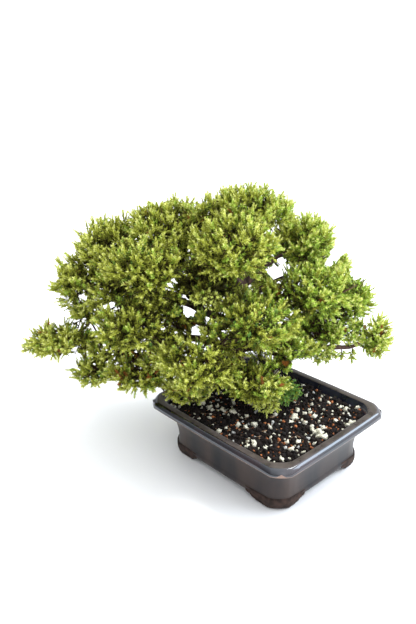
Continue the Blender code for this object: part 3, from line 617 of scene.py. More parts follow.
def build_pot():
    loops = []
    finishes = []
    for index, rows in enumerate(POT_SURFACE.values()):
        for inset, z in metres(rows):
            loops.append(pot_outline(inset, z))
            finishes.append(index)
    band = list(POT_SURFACE).index("glaze_band")
    for loop, share in zip(loops[finishes.index(band):], CUSP_SHARES):
        raise_cusps(loop, share * CUSP_HEIGHT)
    shape = bmesh.new()
    skin_loops(shape, loops, finishes)
    materials = [patterned(name) for name in POT_SURFACE]
    shader = materials[band].node_tree.nodes["Principled BSDF"]
    shader.inputs["Specular Tint"].default_value = BAND_TINT
    pot = add_piece("pot_body", pot_mesh("pot_body", shape), ["pot"], materials)
    for side in (-1, 1):
        shape = bmesh.new()
        bmesh.ops.create_cone(shape, cap_ends=True, segments=32, radius1=DRAIN_RADIUS,
                              radius2=DRAIN_RADIUS, depth=0.02)
        drill = add_object("drill", take_mesh("drill", shape))
        drill.location = Vector(POT_MIDDLE) + Vector((side * DRAIN_OFFSET, 0.0, POT_FLOOR))
        cut = pot.modifiers.new("drain", "BOOLEAN")
        cut.operation = "DIFFERENCE"
        cut.solver = "EXACT"
        cut.object = drill
        bpy.context.view_layer.update()
        graph = bpy.context.evaluated_depsgraph_get()
        pot.data = bpy.data.meshes.new_from_object(pot.evaluated_get(graph))
        pot.modifiers.clear()
        bpy.data.objects.remove(drill, do_unlink=True)
    build_feet(materials[0])


def build_feet(clay):
    """Four low corner feet, drawn in towards the floor in the steps of a cloud."""
    shape = bmesh.new()
    for sign_x in (-1, 1):
        for sign_y in (-1, 1):
            loops = []
            for z, drawn_in, off_wall in metres(FOOT_STEPS):
                edge_x = RIM_HALF[0] - FOOT_OFF_RIM - off_wall
                edge_y = RIM_HALF[1] - FOOT_OFF_RIM - off_wall
                back_x = edge_x - FOOT_REACH[0] + drawn_in
                back_y = edge_y - FOOT_REACH[1] + drawn_in
                loop = [(back_x, back_y), (edge_x, back_y)]
                loop += [(edge_x - off_x, edge_y - off_y) for off_x, off_y in cut_corner(8, FOOT_CHAMFER)]
                loop.append((back_x, edge_y))
                loops.append([Vector((sign_x * x, sign_y * y, z)) for x, y in loop])
            skin_loops(shape, loops)
    mesh = pot_mesh("pot_feet", shape)
    mesh.set_sharp_from_angle(angle=math.radians(50.0))
    add_piece("pot_feet", mesh, ["pot"], [clay])


# Soil


# Grains on the soil: the piece, its material, how many, the least and the greatest size,
# the spacing, how uneven, how finely cut, and the share of the size that it lies higher
GRAINS = (
    ("pumice_grains", "pumice", 215, (0.0018, 0.0068), 0.0050, 1.25, 2, 0.22),
    ("grey_grains", "pumice_grey", 40, (0.0020, 0.0052), 0.0042, 1.00, 2, 0.22),
    ("clay_bits", "clay_bit", 210, (0.0013, 0.0040), 0.0024, 1.00, 1, 0.24),
    ("soil_crumbs", "crumb", 2500, (0.0018, 0.0054), 0.0016, 0.90, 1, 0.16),
)
GRAIN_SHAPES = 7
GRAIN_OFF_WALL = 0.002
# Litter on the grains: how many, the spacing, how far it keeps off the wall, the least and
# the greatest length
CHIPS = (70, 0.0030, 0.004, 0.0030, 0.0085)
CHIP_THICKNESS = 0.0009
CHIP_LEAN = 0.25
DEAD_TWIGS = (22, 0.0030, 0.010, 0.006, 0.016)
DEAD_TWIG_RADII = (0.00045, 0.00025)
DEAD_TWIG_RISE = 0.0014
# Side of the squares in which near grains are looked for, and the bare ring at the trunk
SEARCH_SQUARE = 0.006
BARE_AT_TRUNK = 0.016


def soil_height(x, y):
    """The soil's surface: a little higher at the trunk, and uneven."""
    away = math.hypot(x - TREE_PLACE[0], y - TREE_PLACE[1])
    rise = max(0.0, 1.0 - max(0.0, away - SOIL_PATCH) / SOIL_SLOPE)
    level = SOIL_AT_WALL + rise * (SOIL_AT_TRUNK - SOIL_AT_WALL)
    for height, fineness, layer in SOIL_RELIEF:
        level += height * noise.noise(Vector((x, y, layer)) * fineness)
    return level - SOIL_SINK


def build_soil():
    walls = (POT_FLOOR + SOIL_OFF_WALL, 0.0200, 0.0480, SOIL_AT_WALL - 0.002)
    loops = [pot_outline(inner_inset(z) + SOIL_OFF_WALL, z, 0.0, SOIL_SIDE_POINTS) for z in walls]
    rim = pot_outline(inner_inset(SOIL_AT_WALL) + SOIL_OFF_WALL, 0.0, 0.0, SOIL_SIDE_POINTS)
    for k in range(SOIL_RINGS):
        share = 1.0 - k / SOIL_RINGS
        ring = [(share * point.x, share * point.y) for point in rim]
        loops.append([Vector((x, y, soil_height(x, y))) for x, y in ring])
    shape = bmesh.new()
    skin_loops(shape, loops)
    add_piece("soil_bed", pot_mesh("soil_bed", shape), ["soil"], [patterned("soil_earth")])


def lump_shapes(count, subdivisions, roughness):
    """A few uneven grains, each near 1 across, as arrays of points and triangles."""
    shapes = []
    for k in range(count):
        ball = bmesh.new()
        bmesh.ops.create_icosphere(ball, subdivisions=subdivisions, radius=0.5)
        points = []
        for vertex in ball.verts:
            direction = vertex.co.normalized()
            swell = 1.0 + roughness * noise.noise(direction * 1.6 + Vector((k * 7.3, 2.0, 5.0)))
            swell += 0.5 * roughness * noise.noise(direction * 3.7 + Vector((1.0, k * 3.1, 9.0)))
            points.append(tuple(vertex.co * swell))
        triangles = [[vertex.index for vertex in face.verts] for face in ball.faces]
        ball.free()
        shapes.append((np.array(points), np.array(triangles)))
    return shapes


def random_turns(count, rng):
    """Rotation matrices spread evenly over all turns."""
    q = unit(rng.normal(size=(count, 4)))
    w, x, y, z = q.T
    return np.stack([
        np.stack([1 - 2 * (y * y + z * z), 2 * (x * y - z * w), 2 * (x * z + y * w)], -1),
        np.stack([2 * (x * y + z * w), 1 - 2 * (x * x + z * z), 2 * (y * z - x * w)], -1),
        np.stack([2 * (x * z - y * w), 2 * (y * z + x * w), 1 - 2 * (x * x + y * y)], -1),
    ], -2)


def scatter(shapes, places, sizes, turns):
    """Copies of grains, one at each place, as one array of points and one of triangles."""
    all_points = []
    all_triangles = []
    offset = 0
    for k, (points, triangles) in enumerate(shapes):
        chosen = np.arange(k, len(places), len(shapes))
        scaled = points[None, :, :] * sizes[chosen][:, None, :]
        turned = np.einsum("nij,nkj->nki", turns[chosen], scaled) + places[chosen][:, None, :]
        all_points.append(turned.reshape(-1, 3))
        starts = offset + np.arange(len(chosen)) * len(points)
        all_triangles.append((triangles[None] + starts[:, None, None]).reshape(-1, 3))
        offset += len(chosen) * len(points)
    return np.concatenate(all_points), np.concatenate(all_triangles)


def soil_places(count, rng, spacing, taken, edge):
    """Places on the soil that keep a spacing from each other and from what lies there."""
    half_x = RIM_HALF[0] - inner_inset(SOIL_AT_WALL) - edge
    half_y = RIM_HALF[1] - inner_inset(SOIL_AT_WALL) - edge
    places = []
    tries = 0
    while len(places) < count and tries < 60 * count:
        tries += 1
        x = rng.uniform(-half_x, half_x)
        y = rng.uniform(-half_y, half_y)
        if (half_x - abs(x)) + (half_y - abs(y)) < 0.6 * CORNER_CUT:
            continue
        if math.hypot(x - TREE_PLACE[0], y - TREE_PLACE[1]) < BARE_AT_TRUNK:
            continue
        i, j = int(x // SEARCH_SQUARE), int(y // SEARCH_SQUARE)
        others = [other for a in (i - 1, i, i + 1) for b in (j - 1, j, j + 1)
                  for other in taken.get((a, b), ())]
        if any(math.hypot(x - other[0], y - other[1]) < 0.5 * (spacing + other[2]) for other in others):
            continue
        taken.setdefault((i, j), []).append((x, y, spacing))
        places.append((x, y, soil_height(x, y)))
    return np.array(places)


def add_grains(name, points, triangles, material, is_smooth=False):
    mesh = triangle_mesh(name, points, triangles)
    if is_smooth:
        mesh.shade_smooth()
    add_piece(name, mesh, ["soil"], [material])


def build_grains():
    """Pumice, clay bits, crumbs, bark chips and dead twigs lying on the soil."""
    rng = np.random.default_rng(SEED + 1)
    taken = {}
    for name, material, count, sizes, spacing, roughness, level, lift in GRAINS:
        places = soil_places(count, rng, spacing, taken, GRAIN_OFF_WALL)
        scale = sizes[0] + (sizes[1] - sizes[0]) * rng.random(len(places)) ** 2.0
        stretch = rng.uniform(0.65, 1.30, size=(len(places), 3))
        places[:, 2] += lift * scale
        shapes = lump_shapes(GRAIN_SHAPES, level, roughness)
        points, triangles = scatter(shapes, places + POT_MIDDLE, scale[:, None] * stretch,
                                    random_turns(len(places), rng))
        add_grains(name, points, triangles, patterned(material), level > 1)
    build_litter(rng)


def build_litter(rng):
    """Flat bark chips and thin dead twigs, lying on the grains."""
    chip = patterned("bark_chip")
    taken = {}
    count, spacing, edge, least, greatest = CHIPS
    places = soil_places(count, rng, spacing, taken, edge)
    count = len(places)
    length = rng.uniform(least, greatest, count)
    width = length * rng.uniform(0.25, 0.5, count)
    sizes = np.stack([length, width, np.full(count, CHIP_THICKNESS)], -1)
    places[:, 2] += CHIP_THICKNESS
    turn = rng.uniform(0.0, FULL_TURN, count)
    lean = rng.uniform(-CHIP_LEAN, CHIP_LEAN, count)
    cos, sin = np.cos(turn), np.sin(turn)
    flat = np.stack([
        np.stack([cos * np.cos(lean), -sin, cos * np.sin(lean)], -1),
        np.stack([sin * np.cos(lean), cos, sin * np.sin(lean)], -1),
        np.stack([-np.sin(lean), np.zeros(count), np.cos(lean)], -1),
    ], -2)
    points, triangles = scatter(lump_shapes(6, 1, 0.9), places + POT_MIDDLE, sizes, flat)
    add_grains("bark_chips", points, triangles, chip)
    count, spacing, edge, least, greatest = DEAD_TWIGS
    places = soil_places(count, rng, spacing, taken, edge)
    count = len(places)
    turn = rng.uniform(0.0, FULL_TURN, count)
    length = rng.uniform(least, greatest, count)
    half = 0.5 * length[:, None] * np.stack([np.cos(turn), np.sin(turn), 0.08 * np.sin(3 * turn)], -1)
    middle = places + POT_MIDDLE + DEAD_TWIG_RISE * UP
    radii = [np.full(count, radius) for radius in DEAD_TWIG_RADII]
    points, triangles = rods(middle - half, middle + half, *radii, 4)
    add_grains("dead_twigs", points, triangles, chip)


def rods(starts, ends, start_radii, end_radii, sides):
    """Straight tapering rods with closed ends, as arrays of points and triangles."""
    directions = unit(ends - starts)
    rings = []
    for centre, radii in ((starts, start_radii), (ends, end_radii)):
        for k in range(sides):
            rings.append(centre + around(directions, FULL_TURN * k / sides) * radii[:, None])
    points = np.stack(rings, 1)
    triangles = []
    for k in range(sides):
        j = (k + 1) % sides
        triangles += [(k, j, sides + j), (k, sides + j, sides + k)]
    for k in range(1, sides - 1):
        triangles += [(0, k + 1, k), (sides, sides + k, sides + k + 1)]
    firsts = np.arange(len(points)) * 2 * sides
    return points.reshape(-1, 3), (np.array(triangles)[None] + firsts[:, None, None]).reshape(-1, 3)


# Limbs


def smooth_line(points, step):
    """Rows of place and radius, read from a smooth curve through the given ones."""
    points = np.array(points, float)
    ends = np.vstack([points[:1], points, points[-1:]])
    rows = []
    for before, start, end, after in zip(ends, ends[1:], ends[2:], ends[3:]):
        steps = max(1, round(np.linalg.norm(end[:3] - start[:3]) / step))
        for i in range(steps):
            t = i / steps
            bend = (2 * before - 5 * start + 4 * end - after) * t
            bend = bend + (3 * start - before - 3 * end + after) * t * t
            rows.append(0.5 * (2 * start + (end - before + bend) * t))
    rows.append(points[-1])
    return np.array(rows)


def along(line, share):
    """The place and radius at a share of a line's length."""
    lengths = np.linalg.norm(np.diff(line[:, :3], axis=0), axis=1)
    reached = np.concatenate([[0.0], np.cumsum(lengths)])
    return np.array([np.interp(share * reached[-1], reached, line[:, k]) for k in range(4)])


def at_height(line, height):
    """The place and radius where a rising line reaches a height."""
    return np.array([np.interp(height, line[:, 2], line[:, k]) for k in range(4)])


def bough_line(name, limbs, spaces):
    """The line of a bough, from inside the limb it leaves to where it enters its mass."""
    carrier, place, radius, points = BOUGHS[name]
    points = metres(points)
    radius = metres(radius)
    if carrier == "trunk":
        root = at_height(limbs[carrier], metres(place))
    else:
        root = along(limbs[carrier], place)
    start = root[:3] + unit(points[0] - root[:3]) * 0.4 * root[3]
    tip = spaces[name].enter_from(points[-1])
    rows = [(*start, 1.25 * radius)]
    for i, point in enumerate(points):
        share = (i + 1) / (len(points) + 1)
        rows.append((*point, radius + share * (BOUGH_TIP_RADIUS - radius)))
    rows.append((*tip, BOUGH_TIP_RADIUS))
    return smooth_line(rows, LIMB_STEP)


def bark_tube(line, sides, fibre, seed, flare=False):
    """A closed tube along a line, with fibrous bark that runs along it."""
    points = []
    first = None
    travelled = 0.0
    for i, row in enumerate(line):
        centre = Vector(row[:3])
        ahead = Vector(line[min(i + 1, len(line) - 1)][:3])
        behind = Vector(line[max(i - 1, 0)][:3])
        direction = (ahead - behind).normalized()
        if i:
            travelled += (centre - Vector(line[i - 1][:3])).length
        if first is None:
            helper = Vector((0.0, 0.0, 1.0)) if abs(direction.z) < 0.9 else Vector((1.0, 0.0, 0.0))
            first = direction.cross(helper).normalized()
        first = (first - direction * first.dot(direction)).normalized()
        second = direction.cross(first).normalized()
        for k in range(sides):
            turn = 2.0 * math.pi * k / sides
            c, s = math.cos(turn), math.sin(turn)
            strips, flakes = [
                noise.noise(Vector((c * fine, s * fine, travelled * fine_along + shift)))
                for (fine, fine_along), shift in ((BARK_STRIPS, seed), (BARK_FLAKES, 3.1 * seed))
            ]
            wide = float(row[3]) * (1.0 + fibre * (1.0 - 2.2 * abs(strips)) + 0.6 * fibre * flakes)
            if flare:
                near = max(0.0, 1.0 - float(row[2]) / FLARE_HEIGHT)
                lobes = 0.65 + 0.35 * math.cos(ROOT_LOBES * turn + 0.6)
                wide *= 1.0 + ROOT_FLARE * near * near * lobes
            points.append(centre + wide * (c * first + s * second))
    rings = len(line)
    faces = []
    for i in range(rings - 1):
        for k in range(sides):
            j = (k + 1) % sides
            a, b = i * sides + k, i * sides + j
            c, d = a + sides, b + sides
            faces += [(a, b, d), (a, d, c)]
    for k in range(1, sides - 1):
        faces.append((0, k + 1, k))
        last = (rings - 1) * sides
        faces.append((last, last + k, last + k + 1))
    return np.array([tuple(point) for point in points]), np.array(faces)


# Masses of foliage


class Space:
    """The room that one mass keeps to: an ellipsoid cut flat towards its neighbours."""

    ENTRY = 0.93

    def __init__(self, centre, half):
        self.centre = metres(centre)
        self.half = metres(half)
        self.planes = [(-UP, self.centre[2] - LOWEST_LEAF)]

    def cut_from(self, other):
        """Add the flat side that keeps this mass off another."""
        apart = other.centre - self.centre
        distance = np.linalg.norm(apart)
        normal = apart / distance
        mine = np.linalg.norm(normal * self.half)
        both = mine + np.linalg.norm(normal * other.half)
        if both + SPACE_MARGIN > distance:
            self.planes.append((normal, distance * mine / both - SPACE_MARGIN / 2))

    def reach(self, direction):
        """The distance from the middle to the skin along a direction."""
        distance = 1.0 / np.linalg.norm(direction / self.half)
        for normal, offset in self.planes:
            toward = direction @ normal
            if toward > 1e-9:
                distance = min(distance, offset / toward)
        return distance

    def enter_from(self, point):
        """Where a line from outside to the middle comes into the mass."""
        direction = unit(point - self.centre)
        return self.centre + direction * self.ENTRY * self.reach(direction)


def make_spaces():
    spaces = {name: Space(centre, half) for name, (centre, half) in FOLIAGE.items()}
    for name, space in spaces.items():
        for other_name, other in spaces.items():
            if other_name != name:
                space.cut_from(other)
    return spaces


def in_window(points, clear):
    """Whether points would close one of the crown's gaps."""
    closed = np.zeros(points.shape[:-1], bool)
    offset = points - FRONT_EYE
    for across, up, radius in metres(WINDOWS):
        ray = unit(np.array([across, 0.0, up]) - FRONT_EYE)
        along_ray = (offset @ ray)[..., None] * ray
        closed |= np.linalg.norm(offset - along_ray, axis=-1) < radius + clear
    return closed


class Crown:
    """All the masses together, as one body whose lumps flow into each other."""

    def __init__(self, lumps):
        self.centres = np.array([lump.centre for lump in lumps])
        self.halves = np.array([lump.half for lump in lumps])

    def shares(self, points):
        """At points, the share of every mass's reach."""
        return np.linalg.norm((points[..., None, :] - self.centres) / self.halves, axis=-1)

    def level(self, points):
        """At points, the share of the crown's reach: 1 on its skin and less inside."""
        nearness = np.exp(BLEND * (1.0 - self.shares(points)))
        return 1.0 - np.log(np.sum(nearness, axis=-1)) / BLEND

    def way_out(self, points):
        offset = points[..., None, :] - self.centres
        share = np.maximum(self.shares(points), 1e-6)
        pull = np.exp(BLEND * (1.0 - share)) / share
        return unit(np.sum(offset / self.halves ** 2 * pull[..., None], axis=-2))

    def skin_from(self, mass, direction, depth):
        """Where a ray from a mass's middle comes to a depth, if that is this mass's own skin."""
        own_reach = 1.0 / np.linalg.norm(direction / self.halves[mass])
        places = self.centres[mass] + direction * own_reach * np.linspace(0.6, 1.5, 46)[:, None]
        outside = np.nonzero(self.level(places) >= depth)[0]
        if not len(outside):
            return None
        place = places[outside[0]]
        return place if np.argmin(self.shares(place)) == mass else None


def even_directions(count, rng):
    """Directions spread evenly over a sphere, turned by chance."""
    order = np.arange(count)
    z = 1.0 - (2.0 * order + 1.0) / count
    flat = np.sqrt(1.0 - z * z)
    spiral = np.stack([flat * np.cos(order * GOLDEN_TURN), flat * np.sin(order * GOLDEN_TURN), z], -1)
    return spiral @ random_turns(1, rng)[0].T


def even_rays(half, area_each, rng):
    """Rays that meet an ellipsoid at places spread evenly over its skin."""
    widest = np.prod(half) / np.min(half)
    count = max(6, round(4.0 * math.pi * widest / area_each))
    rays = []
    due = rng.random()
    for direction in even_directions(count, rng):
        due += np.prod(half) * np.linalg.norm(direction / half) / widest
        if due >= 1.0:
            due -= 1.0
            rays.append(unit(direction * half))
    return rays


class Growth:
    """What grows in all the masses: twigs as rods, and shoots that carry needles."""

    def __init__(self):
        # Rods: start, end and both radii. Shoots: base, heading, size, if inner, and green.
        self.rods = []
        self.shoots = []

    def add_rod(self, start, end, start_radius, end_radius):
        self.rods.append((*start, *end, start_radius, end_radius))

    def add_curve(self, points, radii):
        """A twig through points, as rods that meet end to end."""
        widths = np.linspace(*radii, len(points))
        for a, b, wide, narrow in zip(points, points[1:], widths, widths[1:]):
            self.add_rod(a, b, wide, narrow)

    def add_shoots(self, bases, headings, sizes, is_inner, green=0):
        marks = np.tile((float(is_inner), float(green)), (len(sizes), 1))
        self.shoots.append(np.concatenate([bases, headings, sizes[:, None], marks], axis=1))

    def add_fitting(self, crown, bases, headings, sizes, is_inner):
        """Shoots, shorter where they would leave the crown, and none where that won't do."""
        fitted = np.zeros(len(sizes))
        for shrink in (0.6, 0.8, 1.0):
            inside = crown.level(bases + headings * (sizes * shrink)[:, None]) < SHOOT_LIMIT
            fitted = np.where(inside, sizes * shrink, fitted)
        some = fitted > 0.0
        self.add_shoots(bases[some], headings[some], fitted[some], is_inner)
        return fitted


def grow_spray(growth, crown, root, axis, length, is_inner, rng):
    """One spray: forked side shoots in a spiral up a short axis, and a shoot at its end."""
    growth.add_rod(root, root + axis * (length - 0.5 * END_SHOOT), *STALK_RADII[1:])
    end_base = root + axis * (length - END_SHOOT)
    growth.add_shoots(end_base[None], axis[None], np.array([END_SHOOT]), is_inner)
    count = max(4, round((length - 0.8 * END_SHOOT) / SHOOT_STEP))
    order = np.arange(count)
    share = (order + rng.uniform(0.1, 0.9, count)) / count
    place = between((0.06, 1.0 - 0.6 * END_SHOOT / length), share)
    angle = between(SHOOT_ANGLES, share) + rng.uniform(-0.15, 0.15, count)
    size = between(SHOOT_LENGTHS, share) * rng.uniform(0.8, 1.15, count)
    side = around(axis, rng.uniform(0.0, FULL_TURN) + GOLDEN_TURN * order)
    heading = np.cos(angle)[:, None] * axis + np.sin(angle)[:, None] * side
    heading[:, 2] += rng.uniform(0.0, 0.3, count)
    heading = unit(heading)
    base = root + axis * (place * length)[:, None]
    size = growth.add_fitting(crown, base, heading, size, is_inner)
    forked = size > FORKED_ABOVE
    base, heading, size = base[forked], heading[forked], size[forked]
    side = around(heading, rng.uniform(0.0, FULL_TURN, len(base)))
    fork = unit(heading + FORK_ASIDE * side + FORK_UP * UP)
    base = base + heading * FORK_PLACE * size[:, None]
    growth.add_fitting(crown, base, fork, FORK_SIZE * size, is_inner)


def grow_sprig(growth, root, heading, length, green, rng):
    """A thin twig with short shoots along it and one at its end."""
    axis = unit(np.array(heading))
    root, length = metres(root), metres(length)
    growth.add_rod(root, root + axis * length, STALK_RADII[0], STALK_RADII[2])
    count = round(length / SPRIG_STEP)
    share = (np.arange(count) + rng.random(count)) / count
    side = around(axis, rng.uniform(0.0, FULL_TURN) + GOLDEN_TURN * np.arange(count))
    base = root + axis * (0.8 * length * share)[:, None]
    growth.add_shoots(base, unit(0.8 * axis + side), between(SPRIG_SHOOTS, share), False, green)
    end = root + axis * (length - SPRIG_SHOOTS[0])
    growth.add_shoots(end[None], axis[None], np.array(SPRIG_SHOOTS[:1]), False, green)


def grow_mass(growth, crown, space, mass, entry, rng):
    """One mass: a stem from the limb's tip, twigs from the stem, and sprays at their ends."""
    growth.add_curve([entry, 0.5 * (entry + space.centre), space.centre], STEM_RADII)
    lines = []
    for ray in even_rays(space.half, TWIG_AREA, rng):
        start = space.centre + (entry - space.centre) * rng.uniform(0.0, 0.3)
        end = space.centre + ray * space.reach(ray) * TWIG_REACH
        sag = (rng.normal(size=3) - UP) * TWIG_SAG
        line = np.array([start, between((start, end), 0.35) + sag, between((start, end), 0.7) + sag, end])
        growth.add_curve(line, TWIG_RADII)
        lines.append(line)
    knots = np.concatenate([
        between((line[:-1], line[1:]), share) for line in lines for share in (0.0, 0.33, 0.67)
    ])
    knot_depth = np.linalg.norm(knots - space.centre, axis=1)
    layers = ((AREA_PER_SPRAY, SPRAY_DEPTH, False), (AREA_PER_INNER_SPRAY, INNER_DEPTH, True))
    for area_each, depths, is_inner in layers:
        for ray in even_rays(space.half, area_each, rng):
            tip = crown.skin_from(mass, ray, rng.uniform(*depths))
            if tip is None:
                if rng.random() > HIDDEN_SHARE:
                    continue
                tip = space.centre + ray * space.reach(ray) * depths[1]
            if tip[2] < 2.0 * LOWEST_LEAF:
                continue
            axis = unit(crown.way_out(tip) + UPTURN * UP + 0.2 * rng.normal(size=3))
            length = min(rng.uniform(*SPRAY_LENGTH), 0.9 * np.linalg.norm(tip - space.centre))
            root = tip - axis * length
            if crown.level(root) > 1.0:
                continue
            inward = np.maximum(0.0, knot_depth - np.linalg.norm(root - space.centre))
            start = knots[np.argmin(np.linalg.norm(knots - root, axis=1) + 0.6 * inward)]
            growth.add_rod(start, root, *STALK_RADII[:2])
            grow_spray(growth, crown, root, axis, length, is_inner, rng)


def clear_of_rim(points):
    """Whether points keep off the pot's rim and soil."""
    place = to_row(points) - POT_MIDDLE
    inside = np.min(np.array(RIM_HALF) - np.abs(place[:, :2]), axis=1)
    lowest = np.where(inside < RIM_TOP_WIDTH + NEAR_RIM, POT_HEIGHT, SOIL_LEVEL) + CLEAR_OF_RIM
    return (inside <= -NEAR_RIM) | (place[:, 2] > lowest)


def clear_of_limbs(starts, ends, limbs):
    """Whether each straight shoot keeps off every limb."""
    clear = np.ones(len(starts), bool)
    for line in limbs.values():
        for share in (0.2, 0.5, 0.8, 1.0):
            points = between((starts, ends), share)
            for *place, radius in line[::2]:
                clear &= np.linalg.norm(points - place, axis=1) > radius + CLEAR_OF_LIMB
    return clear


def needle_arrays(base, direction, length, curl, scale, is_inner, rng):
    """Folded needles round each shoot: points, triangles, the shoot and the place on it."""
    counts = np.maximum(FEWEST_NEEDLES, np.round(length / NEEDLE_STEP)).astype(int)
    counts = np.where(is_inner, INNER_NEEDLES, counts)
    owner = np.repeat(np.arange(len(base)), counts)
    order = np.arange(len(owner)) - (np.cumsum(counts) - counts)[owner]
    total = len(owner)
    t = ((order + rng.random(total)) / counts[owner]) ** 0.8
    bend = curl[owner]
    size = length[owner][:, None]
    place = base[owner] + size * (direction[owner] * t[:, None] + bend * (t * t)[:, None])
    tangent = unit(direction[owner] + 2.0 * bend * t[:, None])
    phase = rng.uniform(0.0, FULL_TURN, len(base))[owner]
    radial = around(tangent, order * GOLDEN_TURN + phase + rng.normal(size=total) * NEEDLE_TURN)
    lean = between(NEEDLE_ANGLES, t ** 2.0) + rng.normal(size=total) * NEEDLE_LEAN
    heading = np.cos(lean)[:, None] * tangent + np.sin(lean)[:, None] * radial
    reach = NEEDLE_LENGTH * (1.0 - NEEDLE_SHORTER * t) * rng.uniform(0.85, 1.15, total) * scale[owner]
    across = unit(np.cross(heading, radial))
    keel = np.cross(across, heading)
    shoulder = place + heading * (NEEDLE_SHOULDER * reach)[:, None] - keel * NEEDLE_FOLD
    wide = 0.5 * NEEDLE_WIDTH * across * scale[owner][:, None]
    points = np.stack([place, shoulder + wide, shoulder - wide, place + heading * reach[:, None]], 1)
    faces = np.array([(0, 1, 3), (0, 3, 2)])
    return points, faces[None] + 4 * np.arange(total)[:, None, None], owner, t


def core_arrays(base, direction, length, curl):
    """The slim green core of each shoot."""
    middle = base + length[:, None] * (0.5 * direction + 0.25 * curl)
    ring = [middle + CORE_RADIUS * around(direction, FULL_TURN * k / 3.0) for k in range(3)]
    tip = base + length[:, None] * (0.97 * direction + curl)
    faces = np.array([(0, 2, 1), (0, 3, 2), (0, 1, 3), (4, 1, 2), (4, 2, 3), (4, 3, 1)])
    points = np.stack([base, *ring, tip], 1)
    return points, faces[None] + 5 * np.arange(len(base))[:, None, None]


def to_row(points):
    """From the tree's own frame to the part's."""
    cos, sin = math.cos(TREE_TURN), math.sin(TREE_TURN)
    turned = np.stack([
        cos * points[..., 0] - sin * points[..., 1],
        sin * points[..., 0] + cos * points[..., 1],
        points[..., 2],
    ], -1)
    return turned + TREE_PLACE + POT_MIDDLE


def add_needle_pieces(name, needles, needle_faces, cores, core_faces):
    """The needles and cores of one colour, in pieces of fair size."""
    # The tone steps are partly lit and shaded copies of one green: painted light and shade as well as the
    # needles' own variety
    material = new_material("needles_" + name, TONES[name], 0.6, specular=0.25)
    parts = max(1, math.ceil((2 * len(needles) + 6 * len(cores)) / MOST_TRIANGLES))
    for part in range(parts):
        some = needles[part::parts]
        some_cores = cores[part::parts]
        points = np.concatenate([some.reshape(-1, 3), some_cores.reshape(-1, 3)])
        faces = np.concatenate([needle_faces[:len(some)].reshape(-1, 3),
                                core_faces[:len(some_cores)].reshape(-1, 3) + 4 * len(some)])
        label = f"needles_{name}_{part + 1}"
        mesh = triangle_mesh(label, to_row(points), faces)
        add_piece(label, mesh, FOLIAGE_NODES, [material])


def grow_crown(spaces, limbs):
    """All twigs as rods, the crown they fill, and all shoots that stand clear in it."""
    lumps = list(spaces.items())
    lumps += [(name, Space(centre, half)) for name, centre, half in SIDE_GROWTH]
    growth = Growth()
    crown = Crown([space for _, space in lumps])
    for index, (name, space) in enumerate(lumps):
        rng = np.random.default_rng(SEED + 100 + index)
        entry = limbs[name if name in BOUGHS else "trunk"][-1, :3]
        grow_mass(growth, crown, space, index, entry, rng)
    rng = np.random.default_rng(SEED + 3)
    for root, heading, length, green in SPRIGS:
        grow_sprig(growth, root, heading, length, green, rng)
    shoots = np.concatenate(growth.shoots)
    bases = shoots[:, 0:3]
    ends = bases + shoots[:, 3:6] * shoots[:, 6:7]
    keep = clear_of_limbs(bases, ends, limbs)
    clearance = CLEAR_OF_WINDOW * rng.uniform(0.0, 1.6, len(shoots))
    for share in (0.0, 0.5, 1.0):
        points = between((bases, ends), share)
        keep &= ~in_window(points, clearance)
        keep &= clear_of_rim(points) & (points[:, 2] > LOWEST_LEAF)
    return growth, crown, shoots[keep]


